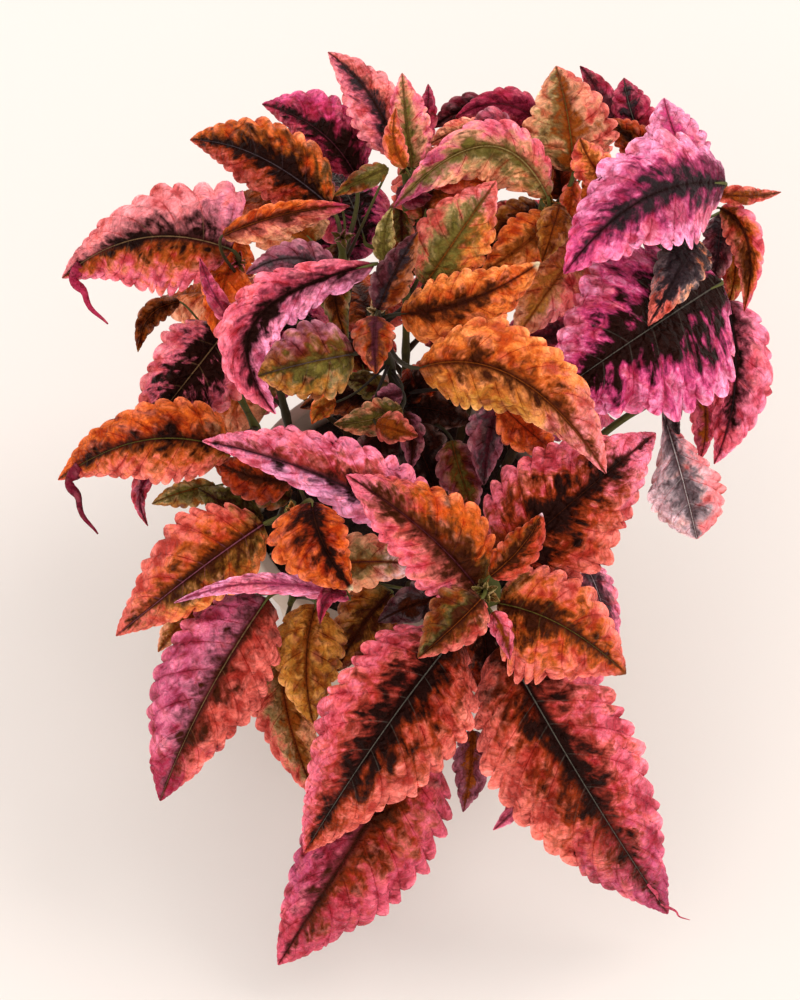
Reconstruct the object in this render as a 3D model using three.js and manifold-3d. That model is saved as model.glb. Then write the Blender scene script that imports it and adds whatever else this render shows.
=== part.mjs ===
// A bushy coleus in a plain round pot. Twelve leafy stems rise from the soil and spread into one crown.
// Millimetres, +Z up. The origin is the centre of the pot's base, and -Y is the side the crown leans to.
import * as THREE from "three";
import { mergeVertices } from "three/addons/utils/BufferGeometryUtils.js";
import Module from "manifold-3d";

const wasm = await Module();
wasm.setup();

// Pot and soil
const POT_HEIGHT = 100;
const POT_TOP_RADIUS = 58;
const POT_BASE_RADIUS = 42;
const POT_WALL = 3.6;
const POT_FLOOR = 5;
const RIM_HEIGHT = 14;
const RIM_PROUD = 3;
const RIM_ROUND = 1.5;
const DRAIN_RADIUS = 4;
const DRAIN_CIRCLE = 27;
const DRAIN_COUNT = 4;
const SOIL_TOP = 90;
const SOIL_DOME = 3;
const SOIL_SHOULDER = [0.6, 0.7];
const SOIL_GAP = 0.35;
const HOLE_RADIUS = 4.5;
const POST_SIDES = 6;
const POT_SIDES = 24;

// Stems and leaf stalks
const FOOT_DEPTH = 16;
const STEM_FOOT_RADIUS = 3.6;
const STEM_TIP_RADIUS = 1.7;
const STEM_SIDES = 4;
const STEM_STATIONS = [0, 0.25, 0.5, 0.625, 0.75, 0.875, 1];
const STEM_RISE = 8;
const STEM_BOW = 0.14;
const STALK_RADIUS = 1.25;
const STALK_TIP_RADIUS = 0.3;
const STALK_SIDES = 3;
const STALK_STEPS = 2;
const STALK_REACH = 0.07;
const STALK_LOWEST = 0.3;
const STALK_DROP = 0.35;
const STALK_HOLD = 0.4;
const STALK_SOFTNESS = 0.65;

// Leaves
const BLADE = 0.9;
const TOOTH_CUT = 0.17;
const TOOTH_LEAN = 0.62;
const TOOTH_SPAN = 13;
const TEETH = [2, 7];
const FIRST_TOOTH = 0.05;
const LAST_TOOTH = 0.965;
const WAIST = 0.56;
const BELLY = 0.7;
const FALL = 0.42;
const BULGE = 0.12;
const WAVE = 0.07;
const WAVES = 2.6;
const WAVE_SHIFT = 0.13;
const ROUNDNESS = 0.85;
const BROAD_LEAF = 60;
const TAIL_START = 0.93;
const TAIL_RADIUS = 1.5;
const TAIL_TIP_RADIUS = 0.6;

// The crown is laid out on a sheet of squares that leans back, x to the right and y down it.
const SQUARE = 0.36;
const SHEET_MID = [400, 500];
const SHEET_TILT = 55;
const EYE_DISTANCE = 1400;
const CROWN_LEVEL = 90;
const CROWN_TOP = 115;
const CROWN_FALL = 60;
const CROWN_HALF = [130, 165];
const STACK_GAP = 2.4;
const STACK_CELL = 10;
const STACK_STEPS = [26, 6];
const FAR_TILT = 38;

// A sheet turned about Z and leaning back, which faces an eye at a distance in front of its middle.
class Sheet {
  constructor(turn, lean, eye) {
    const a = THREE.MathUtils.degToRad(turn);
    const e = THREE.MathUtils.degToRad(lean);
    this.across = new THREE.Vector3(Math.cos(a), Math.sin(a), 0);
    this.up = new THREE.Vector3(-Math.sin(a) * Math.sin(e), Math.cos(a) * Math.sin(e), Math.cos(e));
    this.off = new THREE.Vector3(Math.sin(a) * Math.cos(e), -Math.cos(a) * Math.cos(e), Math.sin(e));
    this.middle = new THREE.Vector3(0, 0, POT_HEIGHT);
    this.eye = eye;
  }

  // The point over x, y in squares and h mm off the sheet. Sight lines close in on the eye.
  place([x, y, h]) {
    const near = SQUARE * (1 - (h - CROWN_LEVEL) / this.eye);
    return this.middle
      .clone()
      .addScaledVector(this.across, (x - SHEET_MID[0]) * near)
      .addScaledVector(this.up, (SHEET_MID[1] - y) * near)
      .addScaledVector(this.off, h);
  }

  // The inverse of place.
  find(point) {
    const p = point.clone().sub(this.middle);
    const h = p.dot(this.off);
    const near = SQUARE * (1 - (h - CROWN_LEVEL) / this.eye);
    return [SHEET_MID[0] + p.dot(this.across) / near, SHEET_MID[1] - p.dot(this.up) / near, h];
  }
}

const FRONT = new Sheet(0, SHEET_TILT, EYE_DISTANCE);

// Height of the crown's dome above the front sheet, in mm, over the point x, y in squares.
function crown(x, y) {
  const across = ((x - SHEET_MID[0]) * SQUARE) / CROWN_HALF[0];
  const up = ((SHEET_MID[1] - y) * SQUARE) / CROWN_HALF[1];
  return CROWN_TOP - CROWN_FALL * (across * across + up * up);
}

// Each leafy stem: where it leaves the soil in mm, and its growing tip as x, y and lift off the dome.
const STEMS = {
  back: { foot: [2, 30], tip: [408, 168, -8], colour: 0x9c4b3a },
  back_left: { foot: [-20, 22], tip: [342, 238, -8], colour: 0xa8492f },
  back_right: { foot: [22, 22], tip: [550, 205, -6], colour: 0xc87442 },
  right: { foot: [38, 8], tip: [706, 196, 8], colour: 0xd3548a },
  right_low: { foot: [42, -14], tip: [704, 372, -38], colour: 0xb04a60 },
  left: { foot: [-38, 6], tip: [238, 262, -8], colour: 0xd45a6a },
  left_low: { foot: [-42, -12], tip: [226, 372, -40], colour: 0xa84456 },
  heart: { foot: [3, 2], tip: [376, 312, 4], colour: 0xd0762c },
  front_left: { foot: [-22, -24], tip: [292, 512, 0], colour: 0xc9602f },
  front_left_low: { foot: [-32, -32], tip: [290, 604, -40], colour: 0xb8642f },
  front: { foot: [22, -24], tip: [484, 592, 14], colour: 0xd04a3c },
  front_low: { foot: [4, -40], tip: [462, 706, -40], colour: 0xc4415a },
};

// Leaves from the lowest to the uppermost. Each row has the stem, the leaf's name, then base, middle
// and tip of its midrib as x, y and lift off the dome, and its left and right half widths in squares,
// left and right as seen from the base. fall is how far each margin falls away for its half width,
// tail the end of a long curled tip, and belly moves the widest place towards the tip.
const LEAVES = [
  ["back_left", "sheltered_mauve", [340, 204, -24], [322, 192, -22], [308, 170, -24], [16, 16]],
  ["back", "plum_wing", [505, 132, -26], [468, 112, -20], [433, 128, -28], [24, 22]],
  ["back_right", "crimson_ruffle", [545, 130, -22], [504, 104, -16], [455, 118, -26], [22, 18]],
  ["back_right", "crimson_hood", [600, 140, -20], [602, 102, -14], [580, 66, -24], [22, 18]],
  ["right", "crimson_crest", [642, 144, -22], [630, 108, -14], [624, 78, -22], [22, 24]],
  ["right", "russet_tuck", [655, 160, -20], [628, 136, -14], [608, 120, -22], [18, 20]],
  ["back", "crimson_slip", [414, 158, -16], [426, 118, -10], [428, 84, -16], [12, 13]],
  ["back_left", "crimson_fan", [356, 176, -22], [318, 130, -12], [262, 104, -26], [26, 42]],
  ["back", "rust_under", [500, 188, -22], [456, 178, -14], [410, 180, -22], [18, 18]],
  ["back_right", "umber_tuck", [540, 206, -26], [512, 222, -20], [488, 240, -26], [20, 20]],
  ["back_right", "umber_stack", [562, 200, -20], [557, 168, -14], [553, 142, -20], [24, 22]],
  ["left_low", "withered_curl", [180, 302, -34], [150, 316, -28], [138, 352, -36], [14, 12]],
  ["left_low", "black_heart", [230, 326, -28], [184, 384, -16], [140, 440, -34], [50, 48]],
  ["right_low", "rose_lobe", [700, 380, -34], [706, 422, -30], [700, 460, -36], [12, 18]],
  ["right_low", "rose_drape", [726, 300, -34], [735, 384, -24], [714, 464, -36], [40, 26]],
  [
    "right_low", "pale_hanger", [660, 404, -44], [680, 470, -34], [697, 539, -44],
    [40, 37], { belly: [1.9, 1.9] },
  ],
  ["front_low", "grey_rose", [586, 566, -48], [602, 604, -40], [617, 664, -46], [18, 18]],
  ["front_low", "olive_point", [472, 730, -44], [470, 770, -38], [463, 812, -42], [22, 18]],
  ["front_low", "pink_peep", [546, 770, -46], [520, 804, -42], [493, 830, -44], [12, 12]],
  ["front_left_low", "umber_under", [392, 592, -44], [362, 626, -36], [336, 672, -40], [36, 34]],
  ["front_left_low", "umber_long", [282, 640, -50], [288, 716, -42], [318, 800, -46], [34, 36]],
  ["front_left_low", "amber_under", [316, 604, -38], [306, 664, -28], [314, 724, -34], [40, 34]],
  ["left_low", "khaki_tuck", [216, 486, -34], [182, 492, -28], [152, 504, -32], [18, 12]],
  ["left_low", "mauve_tail", [176, 462, -30], [142, 486, -28], [148, 526, -36], [9, 11]],
  ["front_left_low", "amber_scrap", [230, 600, -34], [190, 618, -28], [158, 652, -34], [18, 24]],
  ["front_low", "magenta_point", [424, 736, -30], [348, 854, -14], [278, 965, -22], [76, 59]],
  ["front", "dark_gusset", [482, 606, -18], [488, 664, -14], [496, 716, -18], [26, 24]],
  [
    "front", "great_right", [502, 642, -10], [584, 784, 2], [668, 914, -16],
    [75, 80], { tail: [690, 920, -12] },
  ],
  ["front_left_low", "rose_spear", [268, 598, -30], [206, 698, -16], [160, 801, -26], [54, 62]],
  ["left_low", "olive_shade", [262, 524, -40], [228, 506, -36], [198, 488, -40], [22, 22]],
  ["left_low", "moss_shade", [290, 500, -40], [262, 482, -36], [238, 460, -40], [22, 24]],
  ["front_left_low", "dusk_shade", [444, 596, -40], [410, 606, -36], [378, 622, -40], [20, 22]],
  ["heart", "black_shade", [404, 428, -44], [428, 468, -38], [440, 520, -42], [30, 28]],
  ["heart", "plum_tuck", [452, 440, -34], [462, 478, -26], [476, 514, -30], [24, 24]],
  ["heart", "plum_blade", [500, 400, -26], [489, 440, -18], [484, 485, -24], [18, 24]],
  ["heart", "rust_blade", [500, 404, -22], [530, 432, -16], [556, 452, -24], [24, 26]],
  ["heart", "dusk_scrap", [402, 392, -22], [388, 396, -20], [372, 398, -24], [12, 12]],
  ["heart", "moss_scrap", [402, 408, -22], [370, 420, -16], [334, 424, -22], [18, 20]],
  ["heart", "coral_scrap", [376, 424, -18], [396, 430, -14], [418, 436, -18], [18, 16]],
  ["heart", "amber_bud", [336, 402, -18], [322, 408, -14], [312, 424, -16], [12, 12]],
  ["front_left", "ember_under", [292, 480, -22], [250, 476, -16], [212, 458, -26], [26, 24]],
  ["back_right", "peach_fall", [592, 228, -18], [552, 286, -8], [514, 340, -16], [34, 36]],
  ["back_right", "amber_wing", [556, 216, -12], [522, 246, -4], [480, 274, -12], [26, 28]],
  ["back_right", "amber_leaflet", [546, 200, -8], [537, 164, -2], [535, 136, -8], [12, 14]],
  ["back_right", "orange_slip", [604, 176, -12], [592, 192, -8], [576, 208, -12], [14, 14]],
  ["back_right", "rust_curl", [574, 180, -6], [570, 206, -2], [566, 236, -8], [11, 11]],
  ["back_right", "peach_stand", [574, 172, -8], [568, 118, 2], [556, 66, -8], [47, 48]],
  ["back_right", "coral_fan", [606, 182, -4], [590, 160, 2], [580, 138, -4], [22, 20]],
  ["back_right", "umber_curl", [560, 204, -2], [552, 232, 4], [542, 262, -4], [18, 18]],
  ["back", "coral_lobes", [500, 140, -14], [462, 132, -8], [428, 146, -14], [18, 16]],
  ["back", "mauve_lobe", [506, 134, -10], [490, 120, -6], [472, 132, -10], [14, 14]],
  ["back", "pink_upright", [396, 156, -8], [372, 98, 2], [328, 52, -10], [34, 28]],
  ["back", "peach_upright", [412, 168, -4], [406, 118, 4], [402, 73, -6], [19, 24]],
  ["back", "orange_upright", [406, 168, 0], [394, 142, 4], [396, 108, -2], [12, 12]],
  ["back", "crimson_bud", [398, 188, -14], [414, 196, -10], [432, 196, -14], [12, 14]],
  ["back_right", "olive_arch", [548, 198, -4], [484, 146, 8], [393, 208, 0], [40, 28]],
  ["back_left", "ember_olive", [330, 206, -8], [258, 156, 0], [190, 140, -10], [35, 42]],
  ["back_left", "olive_small", [388, 168, -4], [362, 180, 0], [334, 196, -4], [12, 13]],
  ["left", "amber_fall", [242, 238, -12], [224, 286, -4], [216, 338, -12], [26, 26]],
  [
    "left", "pink_wing", [232, 250, -10], [142, 238, 4], [62, 278, -14],
    [60, 64], { tail: [108, 324, -22], belly: [0.7, 0.35] },
  ],
  ["left", "magenta_fold", [240, 330, -6], [216, 298, 0], [200, 258, -6], [11, 11]],
  ["left", "coral_edge", [222, 236, 0], [286, 214, 6], [350, 206, -2], [14, 24]],
  ["back_left", "mauve_under", [334, 274, -12], [292, 258, -6], [246, 274, -12], [22, 20]],
  [
    "back_left", "pink_scroll", [376, 264, -6], [256, 322, 8], [276, 414, -8],
    [32, 36], { belly: [0.8, 1.0] },
  ],
  ["heart", "olive_cup", [354, 354, -8], [302, 364, 0], [258, 376, -8], [42, 44]],
  ["heart", "olive_upright", [386, 262, -10], [384, 236, -6], [392, 208, -10], [12, 12]],
  ["heart", "orange_olive", [424, 286, -8], [462, 230, 2], [496, 181, -6], [40, 38]],
  ["heart", "orange_bar", [400, 314, -2], [470, 300, 6], [540, 262, -2], [34, 42]],
  ["right", "black_rose", [722, 282, -20], [636, 338, -2], [545, 401, -16], [94, 90]],
  [
    "left_low", "orange_spread", [234, 452, -16], [146, 440, 0], [58, 480, -18],
    [44, 42], { tail: [98, 534, -26] },
  ],
  ["front", "coral_broad", [496, 572, -16], [570, 504, 2], [656, 433, -14], [70, 70]],
  [
    "heart", "great_orange", [418, 368, 0], [516, 378, 10], [606, 474, -6],
    [53, 44], { belly: [0.95, 0.55] },
  ],
  ["right", "rose_tail", [720, 208, -6], [748, 244, 0], [744, 312, -12], [18, 20]],
  ["right", "rust_point", [710, 192, 0], [746, 196, 2], [781, 192, -6], [10, 10]],
  ["right", "slate_leaf", [694, 238, -6], [678, 272, 2], [648, 326, -6], [28, 28]],
  ["right", "pink_stand", [702, 184, -2], [677, 138, 4], [664, 98, -8], [39, 29]],
  ["right", "pink_arch", [726, 184, 2], [642, 200, 14], [564, 274, -4], [60, 58]],
  ["front_left", "orange_right", [290, 572, -14], [358, 562, -4], [430, 566, -12], [34, 30]],
  ["front_left", "orange_spear", [264, 524, -14], [196, 572, -2], [116, 636, -14], [42, 56]],
  [
    "front_left", "pink_rim", [350, 600, -10], [262, 583, -2], [174, 603, -8],
    [12, 11], { fall: [1.6, 0.4] },
  ],
  ["front_left", "red_fold", [346, 596, -6], [328, 596, -2], [320, 624, -6], [10, 10]],
  ["front", "pink_long", [442, 545, -12], [326, 478, 4], [202, 441, -8], [26, 49], { fall: [1.2, 0.3] }],
  ["front_left", "orange_fan", [312, 502, -4], [324, 545, 6], [353, 590, -4], [28, 50]],
  ["front", "coral_lower", [456, 636, -6], [380, 736, 6], [304, 853, -12], [75, 73]],
  ["front", "coral_left", [480, 592, -4], [425, 532, 4], [346, 475, -6], [47, 52]],
  ["front", "coral_right", [497, 603, -2], [563, 626, 6], [626, 674, -8], [52, 70]],
  ["front", "rose_bud", [492, 612, 2], [503, 632, 6], [510, 660, 2], [12, 12]],
  ["front", "ember_small", [490, 576, 6], [522, 546, 12], [542, 513, 6], [20, 22]],
  ["front", "coral_small", [482, 598, 8], [455, 625, 12], [418, 658, 4], [28, 36]],
  ["heart", "plum_upright", [378, 310, 2], [396, 270, 8], [418, 232, 2], [20, 20]],
  ["heart", "umber_small", [376, 316, 6], [374, 342, 10], [376, 374, 4], [22, 22]],
];

// Leaves that droop all round the far side, in tiers: how many, the first one's azimuth and the turn
// to the next in degrees from +X towards +Y, then heights and radii of base and tip in mm, and the
// half width in squares.
const FAR_TIERS = [
  { count: 4, first: 52, turn: 27, base: [202, 46], tip: [172, 106], width: 44 },
  { count: 5, first: 20, turn: 31, base: [176, 50], tip: [132, 118], width: 50 },
  { count: 5, first: 42, turn: 30, base: [144, 50], tip: [98, 112], width: 48 },
  { count: 4, first: 30, turn: 38, base: [118, 50], tip: [84, 98], width: 42 },
];
const FAR_STAGGER = 13;
const FAR_RISE = 12;
const FAR_STEMS = [
  [36, "right"],
  [72, "back_right"],
  [112, "back"],
  [150, "back_left"],
  [360, "left"],
];

// One leaf laid on a sheet: points are the midrib's base, middle and tip there.
class Leaf {
  constructor(stem, name, sheet, points, sides, { fall = [FALL, FALL], tail, belly = [BELLY, BELLY] } = {}) {
    Object.assign(this, { stem, name, sheet, points, sides, fall, tail, belly });
    const width = Math.max(...sides);
    this.broad = width >= BROAD_LEAF;
    this.teeth = THREE.MathUtils.clamp(Math.round(width / TOOTH_SPAN), ...TEETH);
    this.phase = (points[0][0] + 2 * points[2][1]) * WAVE_SHIFT;
  }

  // Moves the leaf along the sight lines by h mm.
  raise(h) {
    for (const point of this.points) point[2] += h;
    if (this.tail) this.tail[2] += h;
  }

  // The midrib on the sheet, a parabola through its three points.
  rib(u) {
    const [base, middle, tip] = this.points;
    const share = [2 * (u - 0.5) * (u - 1), -4 * u * (u - 1), 2 * u * (u - 0.5)];
    return base.map((b, i) => share[0] * b + share[1] * middle[i] + share[2] * tip[i]);
  }

  // The midrib's direction on the sheet, as a unit x and y.
  heading(u) {
    const [base, middle, tip] = this.points;
    const share = [4 * u - 3, 4 - 8 * u, 4 * u - 1];
    const [x, y] = [0, 1].map((i) => share[0] * base[i] + share[1] * middle[i] + share[2] * tip[i]);
    return [x / Math.hypot(x, y), y / Math.hypot(x, y)];
  }

  // The blade's middle surface on the sheet: u runs from base to tip, v from the left margin at -1
  // to the right one at 1.
  spread(u, v) {
    const [x, y, h] = this.rib(u);
    const [ahead, down] = this.heading(u);
    const side = v < 0 ? 0 : 1;
    const reach = Math.abs(v);
    const half = this.sides[side] * outline(u, this.belly[side]);
    const wave = WAVE * reach * reach * Math.sin(2 * Math.PI * WAVES * u + this.phase + side);
    const relief = BULGE * Math.sin(Math.PI * reach) - this.fall[side] * reach * reach + wave;
    return [x - down * half * v, y + ahead * half * v, h + relief * half * SQUARE];
  }

  surface(u, v) {
    return this.sheet.place(this.spread(u, v));
  }

  // The long curled tip, from inside the blade to its end.
  tailLine() {
    return [this.surface(TAIL_START, 0), this.sheet.place(this.tail)];
  }
}

// Half width of an ovate, long-tipped blade as a share of its greatest.
function outline(u, belly) {
  return Math.sin(Math.PI * Math.min(1, Math.max(0, u)) ** belly) ** ROUNDNESS;
}

// A closed solid from vertex and triangle lists, turned right side out.
function closedSolid(vertices, triangles) {
  const vertProperties = new Float32Array(vertices.flatMap((p) => [p.x, p.y, p.z]));
  const build = (faces) => {
    const triVerts = new Uint32Array(faces);
    return new wasm.Manifold(new wasm.Mesh({ numProp: 3, vertProperties, triVerts }));
  };
  const solid = build(triangles.flat());
  return solid.volume() > 0 ? solid : build(triangles.flatMap(([a, b, c]) => [a, c, b]));
}

// A manifold-3d solid from a closed three.js geometry.
function solidOf(geometry) {
  const bare = geometry.clone();
  bare.deleteAttribute("normal");
  bare.deleteAttribute("uv");
  const merged = mergeVertices(bare, 1e-4);
  return new wasm.Manifold(
    new wasm.Mesh({
      numProp: 3,
      vertProperties: merged.attributes.position.array,
      triVerts: new Uint32Array(merged.index.array),
    }),
  );
}

// A three.js geometry from a manifold-3d solid.
function geometryOf(solid) {
  const mesh = solid.getMesh();
  const positions = new Float32Array(mesh.numVert * 3);
  for (let i = 0; i < mesh.numVert; i++) {
    const start = i * mesh.numProp;
    positions.set(mesh.vertProperties.subarray(start, start + 3), i * 3);
  }
  const geometry = new THREE.BufferGeometry();
  geometry.setAttribute("position", new THREE.BufferAttribute(positions, 3));
  geometry.setIndex(new THREE.BufferAttribute(new Uint32Array(mesh.triVerts), 1));
  return geometry;
}

// The triangles of one face of a blade. Each tooth is a notch, a point and the next notch.
function bladeFace(leaf) {
  const points = [];
  const triangles = [];
  const add = (u, v) => points.push(leaf.surface(u, v)) - 1;
  const notch = (k) => FIRST_TOOTH + ((LAST_TOOTH - FIRST_TOOTH) * k) / leaf.teeth;
  const steps = Array.from({ length: leaf.teeth + 1 }, (_, k) => k);
  const base = add(0, 0);
  const rib = steps.map((k) => add(notch(k), 0));
  const tip = add(1, 0);
  const margins = {};

  for (const side of [-1, 1]) {
    const face = (a, b, c) => triangles.push(side > 0 ? [a, b, c] : [a, c, b]);
    let inner = rib;
    if (leaf.broad) {
      inner = steps.map((k) => add(notch(k), side * WAIST));
      face(base, inner[0], rib[0]);
      for (let k = 0; k < leaf.teeth; k++) {
        face(rib[k], inner[k], inner[k + 1]);
        face(rib[k], inner[k + 1], rib[k + 1]);
      }
      face(rib[leaf.teeth], inner[leaf.teeth], tip);
    }
    const margin = [add(notch(0), side * (1 - TOOTH_CUT))];
    face(base, margin[0], inner[0]);
    for (let k = 0; k < leaf.teeth; k++) {
      const last = margin[margin.length - 1];
      const peak = add(notch(k + TOOTH_LEAN), side);
      const next = add(notch(k + 1), side * (1 - TOOTH_CUT));
      face(inner[k], last, peak);
      face(inner[k], peak, inner[k + 1]);
      face(inner[k + 1], peak, next);
      margin.push(peak, next);
    }
    face(inner[leaf.teeth], margin[margin.length - 1], tip);
    margins[side] = margin;
  }
  const rim = [base, ...margins[1], tip, ...margins[-1].slice().reverse()];
  return { points, triangles, rim };
}

// Unit normals at the points of a triangle mesh.
function normalsOf(points, triangles) {
  const normals = points.map(() => new THREE.Vector3());
  for (const [a, b, c] of triangles) {
    const across = points[c].clone().sub(points[a]);
    const normal = points[b].clone().sub(points[a]).cross(across);
    for (const i of [a, b, c]) normals[i].add(normal);
  }
  return normals.map((n) => n.normalize());
}

// The blade as a thin solid, split into triangles alike on both faces.
function bladeSolid(leaf) {
  const { points, triangles, rim } = bladeFace(leaf);
  const normals = normalsOf(points, triangles);
  const upper = points.map((p, i) => p.clone().addScaledVector(normals[i], BLADE / 2));
  const lower = points.map((p, i) => p.clone().addScaledVector(normals[i], -BLADE / 2));
  const under = points.length;
  const faces = [...triangles, ...triangles.map(([a, b, c]) => [a + under, c + under, b + under])];
  rim.forEach((a, i) => {
    const b = rim[(i + 1) % rim.length];
    faces.push([b, a, a + under], [b, a + under, b + under]);
  });
  return closedSolid([...upper, ...lower], faces);
}

// A tapered rod with few sides along a line of points, closed at both ends.
function rod(points, startRadius, endRadius, sides) {
  const vertices = [];
  const last = points.length - 1;
  const normal = new THREE.Vector3(0, 1, 0);
  points.forEach((centre, i) => {
    const along = points[Math.min(i + 1, last)].clone().sub(points[Math.max(i - 1, 0)]).normalize();
    normal.addScaledVector(along, -normal.dot(along)).normalize();
    const across = new THREE.Vector3().crossVectors(along, normal);
    const radius = THREE.MathUtils.lerp(startRadius, endRadius, i / last);
    for (let k = 0; k < sides; k++) {
      const angle = ((k + 0.5) * 2 * Math.PI) / sides;
      const corner = centre.clone().addScaledVector(normal, Math.cos(angle) * radius);
      vertices.push(corner.addScaledVector(across, Math.sin(angle) * radius));
    }
  });
  const faces = [];
  for (let i = 0; i < last; i++) {
    for (let k = 0; k < sides; k++) {
      const a = i * sides + k;
      const b = i * sides + ((k + 1) % sides);
      faces.push([a, b, b + sides], [a, b + sides, a + sides]);
    }
  }
  const end = last * sides;
  for (let k = 1; k < sides - 1; k++) faces.push([0, k + 1, k], [end, end + k, end + k + 1]);
  return closedSolid(vertices, faces);
}

// A leafy stem's line: straight up out of the soil, then over to its growing tip.
function stemCurve({ foot, tip }) {
  const [x, y, lift] = tip;
  const end = FRONT.place([x, y, crown(x, y) + lift]);
  const at = (z) => new THREE.Vector3(foot[0], foot[1], z);
  const out = at(SOIL_TOP + SOIL_DOME + STEM_RISE);
  const bend = out.clone().lerp(end, 0.5);
  bend.z += STEM_BOW * out.distanceTo(end);
  const points = [at(SOIL_TOP - FOOT_DEPTH), at(SOIL_TOP), out, bend, end];
  return new THREE.CatmullRomCurve3(points, false, "centripetal");
}

// A leaf's stalk: it leaves the stem below the blade and runs into the midrib.
function stalkCurve(leaf, stem) {
  const base = leaf.surface(0, 0);
  const inside = leaf.surface(STALK_REACH, 0);
  let best = 1;
  let nearest = Infinity;
  for (let t = STALK_LOWEST; t <= 1; t += 0.01) {
    const distance = stem.getPointAt(t).distanceTo(base);
    if (distance < nearest) {
      nearest = distance;
      best = t;
    }
  }
  const drop = (STALK_DROP * nearest) / stem.getLength();
  const from = stem.getPointAt(Math.max(STALK_LOWEST, best - drop));
  const ahead = inside.clone().sub(base).normalize();
  const hold = base.clone().addScaledVector(ahead, -STALK_HOLD * from.distanceTo(base));
  const elbow = from.clone().lerp(hold, STALK_SOFTNESS).lerp(base, 1 - STALK_SOFTNESS);
  return new THREE.CatmullRomCurve3([from, elbow, base, inside]);
}

// Raises each leaf in turn until it clears the leaves already laid under it.
function stack(leaves) {
  const top = new Map();
  const [along, aside] = STACK_STEPS;
  const spots = (leaf) => {
    const found = [];
    for (let i = 0; i <= along; i++) {
      for (let j = -aside; j <= aside; j++) {
        const [x, y, h] = leaf.spread(i / along, j / aside);
        found.push([`${Math.round(x / STACK_CELL)},${Math.round(y / STACK_CELL)}`, h]);
      }
    }
    return found;
  };
  for (const leaf of leaves) {
    let need = 0;
    for (const [cell, h] of spots(leaf)) {
      if (top.has(cell)) need = Math.max(need, top.get(cell) + STACK_GAP - h);
    }
    leaf.raise(need);
    for (const [cell, h] of spots(leaf)) top.set(cell, Math.max(h, top.get(cell) ?? -Infinity));
  }
}

// A leaf of the far side, on a sheet of its own that faces the way it points.
function farLeaf(azimuth, raised, { base, tip, width }, name) {
  const angle = THREE.MathUtils.degToRad(azimuth);
  const sheet = new Sheet(azimuth + 90, FAR_TILT, EYE_DISTANCE);
  const at = ([z, radius]) => {
    return sheet.find(new THREE.Vector3(radius * Math.cos(angle), radius * Math.sin(angle), z + raised));
  };
  const middle = [(base[0] + tip[0]) / 2 + FAR_RISE, (base[1] + tip[1]) / 2];
  const [, stem] = FAR_STEMS.find(([limit]) => azimuth < limit);
  return new Leaf(stem, name, sheet, [at(base), at(middle), at(tip)], [width, width]);
}

// The far side's leaves, tier by tier, every other one a little higher.
function farLeaves() {
  return FAR_TIERS.flatMap((tier, level) => {
    return Array.from({ length: tier.count }, (_, i) => {
      const azimuth = tier.first + i * tier.turn;
      return farLeaf(azimuth, (i % 2) * FAR_STAGGER, tier, `far_${level}_${i}`);
    });
  });
}

// All the plant's leaves, with those of the table stacked from the lowest up.
function crownLeaves() {
  const onDome = ([x, y, lift]) => [x, y, crown(x, y) + lift];
  const near = LEAVES.map(([stem, name, base, middle, tip, sides, more = {}]) => {
    const tail = more.tail && onDome(more.tail);
    return new Leaf(stem, name, FRONT, [base, middle, tip].map(onDome), sides, { ...more, tail });
  });
  stack(near);
  return [...farLeaves(), ...near];
}

// A stem with its leaves fused in, as its one largest body.
function leafyStem(name, leaves) {
  const curve = stemCurve(STEMS[name]);
  const line = STEM_STATIONS.map((t) => curve.getPoint(t));
  const parts = [rod(line, STEM_FOOT_RADIUS, STEM_TIP_RADIUS, STEM_SIDES)];
  for (const leaf of leaves.filter((one) => one.stem === name)) {
    const stalk = stalkCurve(leaf, curve).getSpacedPoints(STALK_STEPS);
    parts.push(rod(stalk, STALK_RADIUS, STALK_TIP_RADIUS, STALK_SIDES));
    parts.push(bladeSolid(leaf));
    if (leaf.tail) parts.push(rod(leaf.tailLine(), TAIL_RADIUS, TAIL_TIP_RADIUS, STALK_SIDES));
  }
  const bodies = wasm.Manifold.union(parts).decompose();
  return bodies.sort((a, b) => b.volume() - a.volume())[0];
}

// A solid of revolution from a profile of radii and heights.
function lathe(profile) {
  const points = profile.map(([r, z]) => new THREE.Vector2(r, z));
  const geometry = new THREE.LatheGeometry(points, POT_SIDES);
  return solidOf(geometry.rotateX(Math.PI / 2));
}

// Outer radius of the pot's wall at a height.
function potRadius(z) {
  return POT_BASE_RADIUS + ((POT_TOP_RADIUS - POT_BASE_RADIUS) * z) / POT_HEIGHT;
}

// An upright round post about x, y, z.
function post(radius, height, x, y, z) {
  const cylinder = new THREE.CylinderGeometry(radius, radius, height, POST_SIDES);
  return solidOf(cylinder.rotateX(Math.PI / 2).translate(x, y, z));
}

// The pot is open at the top, with drain holes round its flat base.
function potSolid() {
  const rimLow = POT_HEIGHT - RIM_HEIGHT;
  let pot = lathe([
    [0, 0],
    [POT_BASE_RADIUS, 0],
    [potRadius(rimLow), rimLow],
    [potRadius(rimLow) + RIM_PROUD, rimLow + RIM_ROUND],
    [POT_TOP_RADIUS + RIM_PROUD, POT_HEIGHT - RIM_ROUND],
    [POT_TOP_RADIUS + RIM_PROUD - RIM_ROUND, POT_HEIGHT],
    [POT_TOP_RADIUS - POT_WALL, POT_HEIGHT],
    [potRadius(POT_FLOOR) - POT_WALL, POT_FLOOR],
    [0, POT_FLOOR],
  ]);
  for (let i = 0; i < DRAIN_COUNT; i++) {
    const angle = ((i + 0.5) * 2 * Math.PI) / DRAIN_COUNT;
    const [x, y] = [DRAIN_CIRCLE * Math.cos(angle), DRAIN_CIRCLE * Math.sin(angle)];
    pot = pot.subtract(post(DRAIN_RADIUS, POT_FLOOR * 3, x, y, POT_FLOOR / 2));
  }
  return pot;
}

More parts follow.
